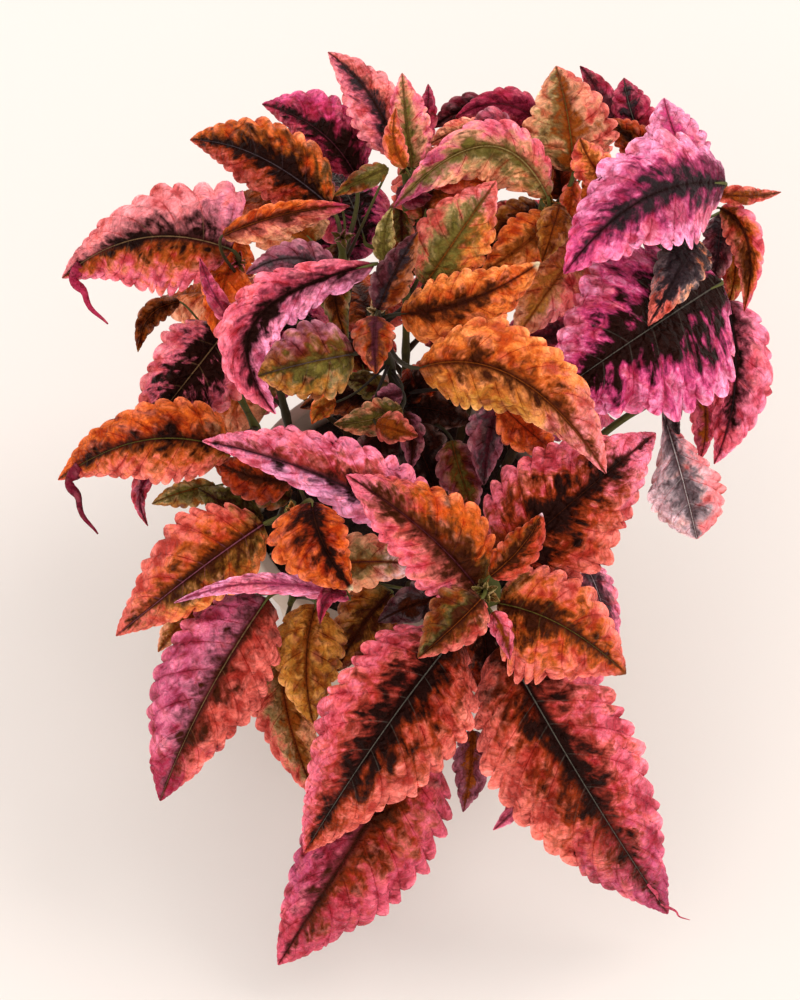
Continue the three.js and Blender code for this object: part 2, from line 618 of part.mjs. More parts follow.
// The soil fills the pot, with a plain hole for each stem.
function soilSolid() {
  const low = POT_FLOOR + SOIL_GAP;
  const inside = (z) => potRadius(z) - POT_WALL - SOIL_GAP;
  let soil = lathe([
    [0, low],
    [inside(low), low],
    [inside(SOIL_TOP), SOIL_TOP],
    [inside(SOIL_TOP) * SOIL_SHOULDER[0], SOIL_TOP + SOIL_DOME * SOIL_SHOULDER[1]],
    [0, SOIL_TOP + SOIL_DOME],
  ]);
  for (const { foot } of Object.values(STEMS)) {
    soil = soil.subtract(post(HOLE_RADIUS, FOOT_DEPTH * 2 + 2, foot[0], foot[1], SOIL_TOP));
  }
  return soil;
}

// A mesh with a name and a material of its own.
function named(name, solid, colour, roughness) {
  const material = new THREE.MeshStandardMaterial({ color: colour, roughness, metalness: 0 });
  const mesh = new THREE.Mesh(geometryOf(solid), material);
  mesh.name = name;
  return mesh;
}

const coleus = new THREE.Group();
coleus.add(named("pot", potSolid(), 0xcdbfb0, 0.6));
coleus.add(named("soil", soilSolid(), 0x2a1d14, 0.95));
const leaves = crownLeaves();
for (const [name, { colour }] of Object.entries(STEMS)) {
  coleus.add(named(`${name}_stem`, leafyStem(name, leaves), colour, 0.55));
}

export default coleus;
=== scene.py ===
"""A bushy potted coleus: frilled leaves of many colours on leafy stems, with soil and a plain pot."""

import math
from types import SimpleNamespace

import bpy
import numpy as np
from bpy.props import FloatProperty, FloatVectorProperty, IntProperty, PointerProperty
from bpy.types import Operator, Panel, PropertyGroup
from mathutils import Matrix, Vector


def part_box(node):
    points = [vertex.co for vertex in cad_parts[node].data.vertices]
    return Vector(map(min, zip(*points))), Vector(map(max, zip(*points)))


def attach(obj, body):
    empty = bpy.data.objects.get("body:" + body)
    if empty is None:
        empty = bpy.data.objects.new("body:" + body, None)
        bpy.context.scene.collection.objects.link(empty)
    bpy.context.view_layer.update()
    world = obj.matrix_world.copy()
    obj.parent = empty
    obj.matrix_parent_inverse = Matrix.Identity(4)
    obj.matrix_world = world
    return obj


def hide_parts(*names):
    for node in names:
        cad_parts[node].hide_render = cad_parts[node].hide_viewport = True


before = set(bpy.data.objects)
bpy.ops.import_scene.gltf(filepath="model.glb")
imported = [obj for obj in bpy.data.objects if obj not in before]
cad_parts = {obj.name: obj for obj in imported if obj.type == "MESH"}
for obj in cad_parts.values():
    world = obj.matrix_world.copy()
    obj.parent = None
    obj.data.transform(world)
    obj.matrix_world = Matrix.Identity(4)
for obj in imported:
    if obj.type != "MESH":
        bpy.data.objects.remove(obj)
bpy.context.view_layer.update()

bl_info = {
    "name": "Potted Coleus",
    "version": (1, 0, 0),
    "blender": (4, 5, 0),
    "location": "View3D > Sidebar > Coleus",
    "description": "Builds the leaves, stems, soil and pot of a coleus",
    "category": "Add Mesh",
}

MM = 0.001
TURN = 2 * math.pi

# The sheet that the crown is laid out on, in squares of so many mm: x to the right, y down, and height
# off it in mm. It faces so many degrees up.
SQUARE = 0.36
SHEET_MID = (400, 500)
SHEET_TILT = 55

# The eye's distance from the sheet and the dome that the crown follows, in mm.
EYE_DISTANCE = 1400
CROWN_LEVEL = 90
CROWN_TOP = 115
CROWN_FALL = 60
CROWN_HALF = (130, 165)

# How leaves are stacked: the gap in mm, a cell in squares, and steps along and across a half blade.
STACK_GAP = 2.4
STACK_CELL = 10
STACK_STEPS = (26, 6)

# The pot and its soil, in mm, and how many sides and rings they are turned with.
POT_HEIGHT = 100
POT_FOOT = 42.0
POT_INSIDE = 39.2
POT_DISH = 1.2
POT_FLOOR = 5
RIM_OVERHANG = 5.2
POT_SIDES = 128
SOIL_TOP = 90
SOIL_DOME = 3
SOIL_RINGS = 30
SOIL_SIDES = 112
GRAIN_RADIUS = 1.5

# The stage: the floor's half side in m and the tint of the sky.
FLOOR_REACH = 6.0
SKY_TINT = (1.0, 0.968, 0.94, 1)

# How a blade is shaped. Its fall, bulge, waves and the midrib's sink are shares of its half width.
FALL = 0.42
BELLY = 0.7
BULGE = 0.12
WAVE = 0.07
WAVES = 2.6
WAVE_SHIFT = 0.13
ROUNDNESS = 0.85
TEETH_FROM = 0.04
TEETH_TO = 0.97
TOOTH_LEAN = 1.3
VEIN_SLANT = 0.2
VEIN_BEND = 1.15
LOBE_DRIFT = 0.42
LOBE_CROWDING = 0.03
MIDRIB_SINK = 0.03
CORE_SHARE = 0.25

# How many teeth a half blade has: their rate for ten squares of length, its power, fewest and most.
TEETH_RATE = 1.9
TEETH_POWER = 0.68
TEETH_COUNTS = (4, 21)

# The small crinkles of a blade: how many waves cross there, and the shortest and longest in mm.
CRINKLES = 7
CRINKLE_LENGTHS = (4.0, 11.0)

# Stems and stalks: the foot's depth, the first rise and a knot's reach are in mm, the rest are shares,
# and how many steps a line has from one of its points to the next.
FOOT_DEPTH = 16
STEM_RISE = 8
STEM_BOW = 0.14
STALK_LOWEST = 0.3
STALK_DROP = 0.35
STALK_HOLD = 0.4
STALK_SOFTNESS = 0.65
STALK_REACH = 0.07
STALK_SWELL = 0.35
KNOT_SWELL = 0.22
KNOT_REACH = 3.5
STEM_STEPS = 14
STALK_STEPS = 7

# Each leafy stem: where it leaves the soil in mm, and its growing tip as x, y and lift off the dome.
STEMS = {
    "back": ((2, 30), (408, 168, -8)),
    "back_left": ((-20, 22), (342, 238, -8)),
    "back_right": ((22, 22), (550, 205, -6)),
    "right": ((38, 8), (706, 196, 8)),
    "right_low": ((42, -14), (704, 372, -38)),
    "left": ((-38, 6), (238, 262, -8)),
    "left_low": ((-42, -12), (226, 372, -40)),
    "heart": ((3, 2), (376, 312, 4)),
    "front_left": ((-22, -24), (292, 512, 0)),
    "front_left_low": ((-32, -32), (290, 604, -40)),
    "front": ((22, -24), (484, 592, 14)),
    "front_low": ((4, -40), (462, 706, -40)),
}
# How dark a stem is, from 0 to 1, and the ones that are darker.
STEM_TONE = 0.3
STEM_TONES = {"heart": 0.95, "left": 0.8}

# The plant's own tints, each as a code and the place where it shows.
TINTS = {
    "blush": ("FFD6E0", "Palest pink, where strong light meets a margin"),
    "lilac": ("FA9CC6", "Pink with a touch of lilac, where light meets a ruffle"),
    "pink": ("F884A6", "Bright pink margins"),
    "hot_pink": ("DC4A84", "Deep pink between margin and core"),
    "rose": ("D2506A", "Rose margins"),
    "magenta": ("C04E74", "Magenta margins in shade"),
    "mauve": ("A0586C", "Dull purple leaves"),
    "coral_pink": ("F07088", "Coral pink margins"),
    "coral": ("E46C60", "Coral margins"),
    "salmon": ("F88C92", "Salmon margins in the light"),
    "red": ("CE4A3A", "Red between margin and core"),
    "ember": ("AE3E14", "Dark red-orange"),
    "orange": ("DE6620", "Orange leaves"),
    "tangerine": ("EE863E", "Lightest orange"),
    "amber": ("C88634", "Amber bases"),
    "peach": ("EFA078", "Peach margins"),
    "ochre": ("AC6E28", "Ochre leaves in shade"),
    "khaki": ("A48C54", "Yellow-green bases"),
    "olive": ("665A26", "Olive bases"),
    "umber": ("8A4210", "Brown leaves"),
    "bark": ("3A1606", "Dark brown cores"),
    "black": ("1B0805", "Near-black cores"),
    "charcoal": ("2A2024", "Grey-black cores"),
    "slate": ("54464A", "Grey leaves"),
    "ash": ("CDB4BC", "Pale grey-pink"),
    "plum": ("56242E", "Plum leaves"),
    "wine": ("7A1E34", "Dark crimson"),
    "crimson": ("B02E50", "Crimson leaves"),
    "cream": ("F2DCB4", "Dry curled tips"),
    "twine": ("8A6A48", "Tan midribs"),
    "steel": ("6A665C", "Grey midribs"),
    "chalk": ("F3E6E4", "White midribs"),
}

# Leaves from the lowest to the uppermost. Each row has the stem, then base, middle and tip of the
# midrib, the left and right half widths in squares, and the tints of margin, middle, core, base and
# midrib, with a slash where the left and right halves differ. A last entry names what is special: pairs
# for the left and right halves are their fall, the belly of their outline, and the ruffle and curl of
# their margins. crumple makes puckers higher, tail is the end of a long curled tip and tail_tint its
# tint, core is the dark core's share of the half width, and tip and dry tint a living and a dried tip.
LEAVES = [
    ("back_left", (340, 204, -24), (322, 192, -22), (308, 170, -24), (16, 16),
     "mauve plum bark umber bark"),
    ("back", (505, 132, -26), (468, 112, -20), (433, 128, -28), (24, 22), "wine plum black plum bark"),
    ("back_right", (545, 130, -22), (504, 104, -16), (455, 118, -26), (22, 18),
     "crimson crimson wine plum plum"),
    ("back_right", (600, 140, -20), (602, 102, -14), (580, 66, -24), (22, 18),
     "crimson wine plum plum plum"),
    ("right", (642, 144, -22), (630, 108, -14), (624, 78, -22), (22, 24),
     "crimson crimson charcoal slate steel"),
    ("right", (655, 160, -20), (628, 136, -14), (608, 120, -22), (18, 20), "ember umber black bark bark"),
    ("back", (414, 158, -16), (426, 118, -10), (428, 84, -16), (12, 13), "crimson crimson wine plum plum"),
    ("back_left", (356, 176, -22), (318, 130, -12), (262, 104, -26), (26, 42),
     "rose/hot_pink crimson black black plum", {"core": 0.3, "ruffle": (2.0, 2.0)}),
    ("back", (500, 188, -22), (456, 178, -14), (410, 180, -22), (18, 18), "coral orange ember umber umber"),
    ("back_right", (540, 206, -26), (512, 222, -20), (488, 240, -26), (20, 20),
     "ochre umber bark bark bark"),
    ("back_right", (562, 200, -20), (557, 168, -14), (553, 142, -20), (24, 22),
     "umber ember bark black bark"),
    ("left_low", (180, 302, -34), (150, 316, -28), (138, 352, -36), (14, 12),
     "umber umber bark bark umber", {"crumple": 3.0, "dry": "ochre"}),
    ("left_low", (230, 326, -28), (184, 384, -16), (140, 440, -34), (50, 48),
     "salmon coral_pink black black twine", {"core": 0.52, "ruffle": (1.6, 1.6)}),
    ("right_low", (700, 380, -34), (706, 422, -30), (700, 460, -36), (12, 18),
     "coral_pink rose umber umber plum", {"core": 0.1}),
    ("right_low", (726, 300, -34), (735, 384, -24), (714, 464, -36), (40, 26),
     "pink/coral_pink coral_pink/rose black charcoal charcoal", {"core": 0.18}),
    ("right_low", (660, 404, -44), (680, 470, -34), (697, 539, -44), (40, 37),
     "salmon/blush ash slate slate chalk", {"belly": (1.9, 1.9), "core": 0.06}),
    ("front_low", (586, 566, -48), (602, 604, -40), (617, 664, -46), (18, 18),
     "pink mauve slate slate ash"),
    ("front_low", (472, 730, -44), (470, 770, -38), (463, 812, -42), (22, 18),
     "mauve mauve umber bark umber"),
    ("front_low", (546, 770, -46), (520, 804, -42), (493, 830, -44), (12, 12),
     "pink rose mauve mauve plum"),
    ("front_left_low", (392, 592, -44), (362, 626, -36), (336, 672, -40), (36, 34),
     "umber ochre bark olive bark", {"core": 0.15}),
    ("front_left_low", (282, 640, -50), (288, 716, -42), (318, 800, -46), (34, 36),
     "peach/coral ochre/khaki umber umber bark", {"core": 0.08}),
    ("front_left_low", (316, 604, -38), (306, 664, -28), (314, 724, -34), (40, 34),
     "amber amber umber umber bark", {"core": 0.06}),
    ("left_low", (216, 486, -34), (182, 492, -28), (152, 504, -32), (18, 12),
     "ochre khaki olive olive umber"),
    ("left_low", (176, 462, -30), (142, 486, -28), (148, 526, -36), (9, 11), "rose mauve wine plum plum"),
    ("front_left_low", (230, 600, -34), (190, 618, -28), (158, 652, -34), (18, 24),
     "peach ochre umber umber umber", {}),
    ("front_low", (424, 736, -30), (348, 854, -14), (278, 965, -22), (76, 59),
     "rose/magenta ember/rose bark plum bark", {"core": 0.12, "tip": "rose"}),
    ("front", (482, 606, -18), (488, 664, -14), (496, 716, -18), (26, 24), "ember bark black black bark"),
    ("front", (502, 642, -10), (584, 784, 2), (668, 914, -16), (75, 80),
     "coral_pink/coral red/ember black black steel",
     {"tail": (690, 920, -12), "core": 0.2, "tip": "magenta", "tail_tint": "rose"}),
    ("front_left_low", (268, 598, -30), (206, 698, -16), (160, 801, -26), (54, 62),
     "coral/magenta red/pink bark bark twine", {"core": 0.1, "tip": "crimson"}),
    ("left_low", (262, 524, -40), (228, 506, -36), (198, 488, -40), (22, 22), "olive olive bark bark bark"),
    ("left_low", (290, 500, -40), (262, 482, -36), (238, 460, -40), (22, 24), "umber olive bark bark bark"),
    ("front_left_low", (444, 596, -40), (410, 606, -36), (378, 622, -40), (20, 22),
     "plum slate bark bark bark"),
    ("heart", (404, 428, -44), (428, 468, -38), (440, 520, -42), (30, 28), "bark black black black bark"),
    ("heart", (452, 440, -34), (462, 478, -26), (476, 514, -30), (24, 24), "mauve umber olive olive umber"),
    ("heart", (500, 400, -26), (489, 440, -18), (484, 485, -24), (18, 24), "mauve slate plum plum plum"),
    ("heart", (500, 404, -22), (530, 432, -16), (556, 452, -24), (24, 26), "orange ember ember umber bark"),
    ("heart", (402, 392, -22), (388, 396, -20), (372, 398, -24), (12, 12), "mauve mauve plum plum plum"),
    ("heart", (402, 408, -22), (370, 420, -16), (334, 424, -22), (18, 20), "peach olive olive olive khaki"),
    ("heart", (376, 424, -18), (396, 430, -14), (418, 436, -18), (18, 16), "coral umber umber umber umber"),
    ("heart", (336, 402, -18), (322, 408, -14), (312, 424, -16), (12, 12),
     "orange ochre umber umber umber"),
    ("front_left", (292, 480, -22), (250, 476, -16), (212, 458, -26), (26, 24),
     "ember ember bark bark bark", {}),
    ("back_right", (592, 228, -18), (552, 286, -8), (514, 340, -16), (34, 36),
     "salmon/peach peach/tangerine amber orange umber", {"core": 0.06, "tip": "peach"}),
    ("back_right", (556, 216, -12), (522, 246, -4), (480, 274, -12), (26, 28),
     "orange tangerine umber umber umber", {"core": 0.1}),
    ("back_right", (546, 200, -8), (537, 164, -2), (535, 136, -8), (12, 14),
     "ochre amber olive olive umber"),
    ("back_right", (604, 176, -12), (592, 192, -8), (576, 208, -12), (14, 14),
     "tangerine orange umber umber umber"),
    ("back_right", (574, 180, -6), (570, 206, -2), (566, 236, -8), (11, 11),
     "coral orange ember umber umber"),
    ("back_right", (574, 172, -8), (568, 118, 2), (556, 66, -8), (47, 48),
     "peach/coral khaki/peach umber bark olive", {"core": 0.2}),
    ("back_right", (606, 182, -4), (590, 160, 2), (580, 138, -4), (22, 20),
     "coral tangerine umber bark bark"),
    ("back_right", (560, 204, -2), (552, 232, 4), (542, 262, -4), (18, 18),
     "ochre umber umber bark bark", {"crumple": 1.6}),
    ("back", (500, 140, -14), (462, 132, -8), (428, 146, -14), (18, 16), "coral peach umber olive umber"),
    ("back", (506, 134, -10), (490, 120, -6), (472, 132, -10), (14, 14), "mauve rose mauve plum plum"),
    ("back", (396, 156, -8), (372, 98, 2), (328, 52, -10), (34, 28),
     "salmon/salmon coral_pink/coral charcoal black bark", {"core": 0.24, "ruffle": (2.2, 2.2)}),
    ("back", (412, 168, -4), (406, 118, 4), (402, 73, -6), (19, 24),
     "coral_pink peach olive olive olive", {"core": 0.24, "ruffle": (2.4, 2.4)}),
    ("back", (406, 168, 0), (394, 142, 4), (396, 108, -2), (12, 12), "coral orange umber olive umber"),
    ("back", (398, 188, -14), (414, 196, -10), (432, 196, -14), (12, 14), "wine wine plum plum plum"),
    ("back_right", (548, 198, -4), (484, 146, 8), (393, 208, 0), (40, 28),
     "peach/coral_pink khaki/peach olive olive khaki", {"core": 0.1, "tip": "magenta"}),
    ("back_left", (330, 206, -8), (258, 156, 0), (190, 140, -10), (35, 42),
     "coral/orange ember/umber black olive slate", {"core": 0.34}),
    ("back_left", (388, 168, -4), (362, 180, 0), (334, 196, -4), (12, 13), "umber olive olive olive olive"),
    ("left", (242, 238, -12), (224, 286, -4), (216, 338, -12), (26, 26), "orange orange ember umber umber"),
    ("left", (232, 250, -10), (142, 238, 4), (62, 278, -14), (60, 64),
     "coral_pink/salmon orange/salmon black black/pink twine",
     {"tail": (108, 324, -22), "belly": (0.7, 0.35), "core": 0.14, "tail_tint": "crimson"}),
    ("left", (240, 330, -6), (216, 298, 0), (200, 258, -6), (11, 11), "magenta crimson magenta plum plum"),
    ("left", (222, 236, 0), (286, 214, 6), (350, 206, -2), (14, 24),
     "orange/peach ember/coral bark umber umber", {"core": 0.14, "tip": "crimson", "ruffle": (1.0, 2.4)}),
    ("back_left", (334, 274, -12), (292, 258, -6), (246, 274, -12), (22, 20),
     "mauve mauve slate plum charcoal"),
    ("back_left", (376, 264, -6), (256, 322, 8), (276, 414, -8), (32, 36),
     "lilac/coral_pink pink/rose black plum black",
     {"belly": (0.8, 1.0), "core": 0.17, "ruffle": (4.2, 2.2), "curl": (0.7, 0.15)}),
    ("heart", (354, 354, -8), (302, 364, 0), (258, 376, -8), (42, 44),
     "ochre/mauve olive/umber olive olive slate", {"core": 0.2, "tip": "ochre"}),
    ("heart", (386, 262, -10), (384, 236, -6), (392, 208, -10), (12, 12), "khaki olive olive olive olive"),
    ("heart", (424, 286, -8), (462, 230, 2), (496, 181, -6), (40, 38),
     "coral/tangerine khaki/ochre olive olive umber", {"core": 0.24, "tip": "salmon"}),
    ("heart", (400, 314, -2), (470, 300, 6), (540, 262, -2), (34, 42),
     "tangerine orange bark umber bark", {"core": 0.1, "dry": "cream"}),
    ("right", (722, 282, -20), (636, 338, -2), (545, 401, -16), (94, 90),
     "lilac hot_pink black black steel",
     {"core": 0.56, "ruffle": (2.4, 2.0), "curl": (0.15, 0.1)}),
    ("left_low", (234, 452, -16), (146, 440, 0), (58, 480, -18), (44, 42),
     "coral/orange orange/ember black olive olive",
     {"tail": (98, 534, -26), "core": 0.14, "tail_tint": "wine"}),
    ("front", (496, 572, -16), (570, 504, 2), (656, 433, -14), (70, 70),
     "coral_pink/coral ember black umber bark", {"core": 0.3, "tip": "pink"}),
    ("heart", (418, 368, 0), (516, 378, 10), (606, 474, -6), (53, 44),
     "tangerine/amber orange/tangerine bark umber umber",
     {"belly": (0.95, 0.55), "core": 0.1, "tip": "salmon"}),
    ("right", (720, 208, -6), (748, 244, 0), (744, 312, -12), (18, 20),
     "coral_pink/coral orange/umber bark olive bark", {"core": 0.22}),
    ("right", (710, 192, 0), (746, 196, 2), (781, 192, -6), (10, 10), "coral umber umber umber bark"),
    ("right", (694, 238, -6), (678, 272, 2), (648, 326, -6), (28, 28),
     "peach/slate slate charcoal charcoal charcoal", {"core": 0.55, "tip": "coral"}),
    ("right", (702, 184, -2), (677, 138, 4), (664, 98, -8), (39, 29),
     "lilac pink hot_pink charcoal plum", {"core": 0.2, "tip": "lilac"}),
    ("right", (726, 184, 2), (642, 200, 14), (564, 274, -4), (60, 58),
     "lilac hot_pink charcoal black black",
     {"core": 0.22, "tip": "hot_pink", "ruffle": (2.4, 2.0), "curl": (0.3, 0.1)}),
    ("front_left", (290, 572, -14), (358, 562, -4), (430, 566, -12), (34, 30),
     "peach khaki umber khaki plum", {"core": 0.06, "tip": "blush"}),
    ("front_left", (264, 524, -14), (196, 572, -2), (116, 636, -14), (42, 56),
     "tangerine/coral ochre/orange bark olive mauve", {"core": 0.18, "tip": "coral"}),
    ("front_left", (350, 600, -10), (262, 583, -2), (174, 603, -8), (12, 11),
     "lilac pink magenta crimson magenta", {"fall": (1.6, 0.4), "core": 0.06, "tip": "lilac"}),
    ("front_left", (346, 596, -6), (328, 596, -2), (320, 624, -6), (10, 10), "crimson wine wine wine plum"),
    ("front", (442, 545, -12), (326, 478, 4), (202, 441, -8), (26, 49),
     "lilac/pink lilac/red black plum/crimson charcoal",
     {"fall": (1.2, 0.3), "core": 0.07, "tip": "pink", "ruffle": (2.4, 2.2), "curl": (0.2, 0.2)}),
    ("front_left", (312, 502, -4), (324, 545, 6), (353, 590, -4), (28, 50),
     "orange ember black black bark", {"core": 0.34, "dry": "cream"}),
    ("front", (456, 636, -6), (380, 736, 6), (304, 853, -12), (75, 73),
     "coral/coral_pink ember/red black black steel", {"core": 0.24}),
    ("front", (480, 592, -4), (425, 532, 4), (346, 475, -6), (47, 52),
     "coral_pink/orange coral/umber bark olive plum", {"core": 0.2, "tip": "coral_pink"}),
    ("front", (497, 603, -2), (563, 626, 6), (626, 674, -8), (52, 70),
     "coral orange bark olive olive", {"core": 0.22, "dry": "umber"}),
    ("front", (492, 612, 2), (503, 632, 6), (510, 660, 2), (12, 12),
     "coral_pink coral_pink umber olive umber"),
    ("front", (490, 576, 6), (522, 546, 12), (542, 513, 6), (20, 22),
     "ember/red umber/ember bark bark umber", {"core": 0.3, "dry": "blush"}),
    ("front", (482, 598, 8), (455, 625, 12), (418, 658, 4), (28, 36),
     "coral/umber umber/olive bark plum umber", {"core": 0.2}),
    ("heart", (378, 310, 2), (396, 270, 8), (418, 232, 2), (20, 20),
     "plum/umber plum/umber charcoal plum bark"),
    ("heart", (376, 316, 6), (374, 342, 10), (376, 374, 4), (22, 22),
     "ember umber plum plum plum", {"core": 0.3}),
]

# Small leaves in the shade of the others and clear of them, which aren't stacked, in rows like those. Most
# are tinted dark, near black, as painted shade deep in the crown.
UNDER_LEAVES = [
    ("heart", (392, 404, -50), (352, 396, -44), (300, 408, -50), (26, 26), "umber bark black black bark"),
    ("heart", (404, 400, -50), (424, 380, -44), (446, 350, -50), (22, 22), "ember bark black bark bark"),
    ("heart", (396, 410, -46), (380, 442, -40), (352, 476, -46), (24, 24), "plum bark black black bark"),
    ("heart", (404, 408, -52), (436, 410, -46), (474, 424, -52), (24, 24), "bark bark black black bark"),
    ("heart", (390, 402, -40), (366, 384, -34), (340, 380, -40), (14, 15), "olive olive bark bark bark"),
    ("heart", (404, 412, -36), (412, 440, -30), (410, 470, -36), (14, 14), "mauve plum bark bark bark"),
    ("back_left", (340, 244, -30), (334, 290, -24), (348, 344, -32), (18, 20),
     "olive umber bark bark bark"),
    ("back", (402, 196, -30), (402, 236, -26), (408, 284, -32), (14, 15), "ember olive bark bark bark"),
    ("right_low", (694, 388, -30), (676, 408, -26), (680, 440, -34), (9, 10),
     "slate charcoal black black slate"),
    ("right", (722, 212, -26), (718, 250, -20), (712, 290, -28), (19, 17),
     "mauve plum charcoal slate plum"),
    ("right", (726, 222, -36), (736, 262, -30), (726, 308, -38), (20, 18), "coral ochre umber olive bark"),
]

# Leaves that droop all round the far side, in tiers: how many, the first one's azimuth and the turn
# to the next in degrees, then heights and radii of base and tip in mm, and the half width in squares.
FAR_TIERS = (
    (4, 52, 27, (202, 46), (172, 106), 44),
    (5, 20, 31, (176, 50), (132, 118), 50),
    (5, 42, 30, (144, 50), (98, 112), 48),
    (4, 30, 38, (118, 50), (84, 98), 42),
)
# How far up their sheets face in degrees, how much higher every second leaf of a tier and the middle of
# each leaf sit in mm, their stems up to an azimuth, and their tints and cores in turn.
FAR_TILT = 38
FAR_STAGGER = 13
FAR_RISE = 12
FAR_STEMS = ((36, "right"), (72, "back_right"), (112, "back"), (150, "back_left"), (360, "left"))
FAR_TINTS = (
    ("coral_pink red black bark twine", 0.4),
    ("coral orange bark olive bark", 0.2),
    ("pink hot_pink black charcoal steel", 0.5),
    ("peach orange umber olive umber", 0.15),
    ("magenta rose plum plum plum", 0.25),
)

# Rosettes of young leaves at the growing tips: how many leaves, their length in squares and tints.
BUDS = {
    "front": (7, 20, "khaki olive olive olive khaki"),
    "heart": (6, 15, "cream khaki olive olive khaki"),
    "front_left": (5, 14, "amber olive umber olive olive"),
    "right": (5, 16, "mauve plum charcoal olive plum"),
    "back": (5, 15, "khaki olive olive olive olive"),
    "back_right": (5, 15, "amber olive olive olive olive"),
    "back_left": (5, 15, "mauve olive olive olive olive"),
    "left": (5, 14, "rose umber olive olive olive"),
}
# The turn from one of them to the next, and their half width as a share of their length.
GOLDEN_TURN = math.radians(137.5)
BUD_HALF = 0.28

# The patterns on a blade, each as a noise's scale, detail, roughness and distortion.
SPOTS = {
    "mottles": (95.0, 3.0, 0.6, 1.2),
    "blots": (190.0, 3.0, 0.55, 1.0),
    "patches": (42.0, 3.0, 0.55, 0.6),
    "grains": (480.0, 3.0, 0.65, 0.8),
}
# Those that run along the side veins: steps for each lobe, steps across the half blade, then the noise.
BARS = {
    "streaks": (1.1, 2.0, (1.5, 3.0, 0.5, 0.4)),
    "dashes": (2.6, 6.0, (1.5, 2.0, 0.5, 0.5)),
}
NET_SCALE = 200.0
FINE_NET_SCALE = 430.0
NET_WOBBLE = 4 * MM
NET_WOBBLE_SCALE = 260.0

# Where each zone of a blade begins to show and where it shows in full. Wide cores are barred. A core is
# CORE_WIDTH times its share wide at the base, and CORE_TAPER times its share less at the tip.
BARRED_CORES = (0.08, 0.5)
MIDDLE_ZONE = (0.75, 0.08)
LIGHT_ZONE = (0.0, 0.22)
TIP_ZONE = (0.62, 0.94)
BASE_ZONE = (0.34, 0.06)
DEEP_ZONE = (0.52, 0.04)
CORE_ZONE = (0.16, -0.12)
DRY_ZONE = (0.94, 0.985)
CORE_WIDTH = 1.15
CORE_TAPER = 0.9

# How strongly each mark shows on a blade.
STAIN = 0.62
# Painted shade in the valleys between folds and in the grooves at the margin.
VALLEY_SHADE = 0.78
GROOVE_SHADE = 0.3
NET = 0.34
FINE_NET = 0.12
GOLD = 0.4
# Painted highlights: on ridges and pillows, as glints on specks, and as light along the rim.
RAISED_HIGHLIGHT = 0.62
GLINTS = 0.4
RIM_LIGHT = 0.3
SIDE_VEIN = 0.75
SIDE_VEIN_ON_DARK = 0.22
BESIDE_MIDRIB = 0.6
MIDRIB = 0.72
BRIGHTNESS = 1.21

# Tints that the marks are mixed from.
# A red-brown that darkens stains and veins, and that paints shade into valleys and grooves.
STAIN_AND_SHADE_RED = (0.5, 0.13, 0.08)
GOLDEN = (1.0, 0.82, 0.55)
# Paler tints for the painted highlights on ridges and pillows and along the rim.
HIGHLIGHT_TINT = (1.0, 0.72, 0.66)
PALE_RIM = (1.0, 0.74, 0.68)
UNDERSIDE = (0.36, 0.14, 0.16)
SHEEN = (1.0, 0.5, 0.45, 1.0)

# A blade's points: shares of a lobe where its columns lie, those before the first lobe and after the
# last one as lobes and as shares of the midrib, and how many rows there are on each side.
LOBE_STEPS = (0, 0.1, 0.27, 0.48, 0.7, 0.89)
BASE_COLUMNS = ((-0.4, 0.012), (-0.2, 0.026))
TIP_COLUMNS = ((0.2, 0.983), (0.4, 0.993))
FEWEST_ROWS = 6
MOST_ROWS = 14

# What is uneven on a blade, each with the number that its seed is counted up by. Random hills repeat
# after so many, and the left and right halves of a blade lie in different rows of them.
UNEVEN = {"fold": 0, "blister": 1, "pucker": 2, "wave": 3, "flick": 4, "vein": 5, "tooth": 6}
UNEVEN |= {"edge": 7, "margin": 8, "lobe": 70}
HILLS = 64
HALVES = (3.0, 11.0)
RIM_HALVES = (5.0, 17.0)

# The numbers that the seeds of added leaves are counted from.
FIRST_FAR_LEAF = 200
FIRST_BUD_LEAF = 300
FIRST_UNDER_LEAF = 400

# The long curled tips: where they start on the blade, and the points along and round them.
TAIL_START = 0.88
TAIL_STEPS = 22
TAIL_SIDES = 9


def linear(code):
    """A linear colour from a six-digit code."""
    channels = [int(code[i : i + 2], 16) / 255 for i in (0, 2, 4)]
    return tuple(c / 12.92 if c <= 0.04045 else ((c + 0.055) / 1.055) ** 2.4 for c in channels)


def length_property(name, about, default):
    return FloatProperty(name=name, description=about, default=default, min=0, unit="LENGTH", precision=5)


def share_property(name, about, default):
    return FloatProperty(name=name, description=about, default=default, min=0, soft_max=1, subtype="FACTOR")


def power_property(name, about, default):
    return FloatProperty(name=name, description=about, default=default, unit="POWER")


def colour_property(name, about, code):
    return FloatVectorProperty(
        name=name, description=about, default=linear(code), min=0, max=1, subtype="COLOR"
    )


class BladeSettings(PropertyGroup):
    """Sizes of the leaf blades."""

    thickness: length_property("Thickness", "Thickness of a blade", 0.45 * MM)
    midrib: length_property("Midrib", "Half width of the midrib at a blade's base", 0.32 * MM)
    tooth_depth: share_property("Tooth depth", "Depth of the notches, of the half width", 0.17)
    quilting: share_property("Quilting", "Height of the folds between veins, of their width", 0.11)
    blisters: share_property("Blisters", "Height of the puckers on the folds, of their width", 0.33)
    ruffle: share_property("Ruffle", "Height of the margin's waves, of the half width", 0.07)
    flick: share_property("Flick", "How far lobes bend up or down, of the half width", 0.05)
    crinkle: length_property("Crinkle", "Height of the small crinkles", 0.3 * MM)


class TintSettings(PropertyGroup):
    """The tints that the leaves are mixed from."""

    __annotations__ = {
        name: colour_property(name.replace("_", " ").capitalize(), about, code)
        for name, (code, about) in TINTS.items()
    }


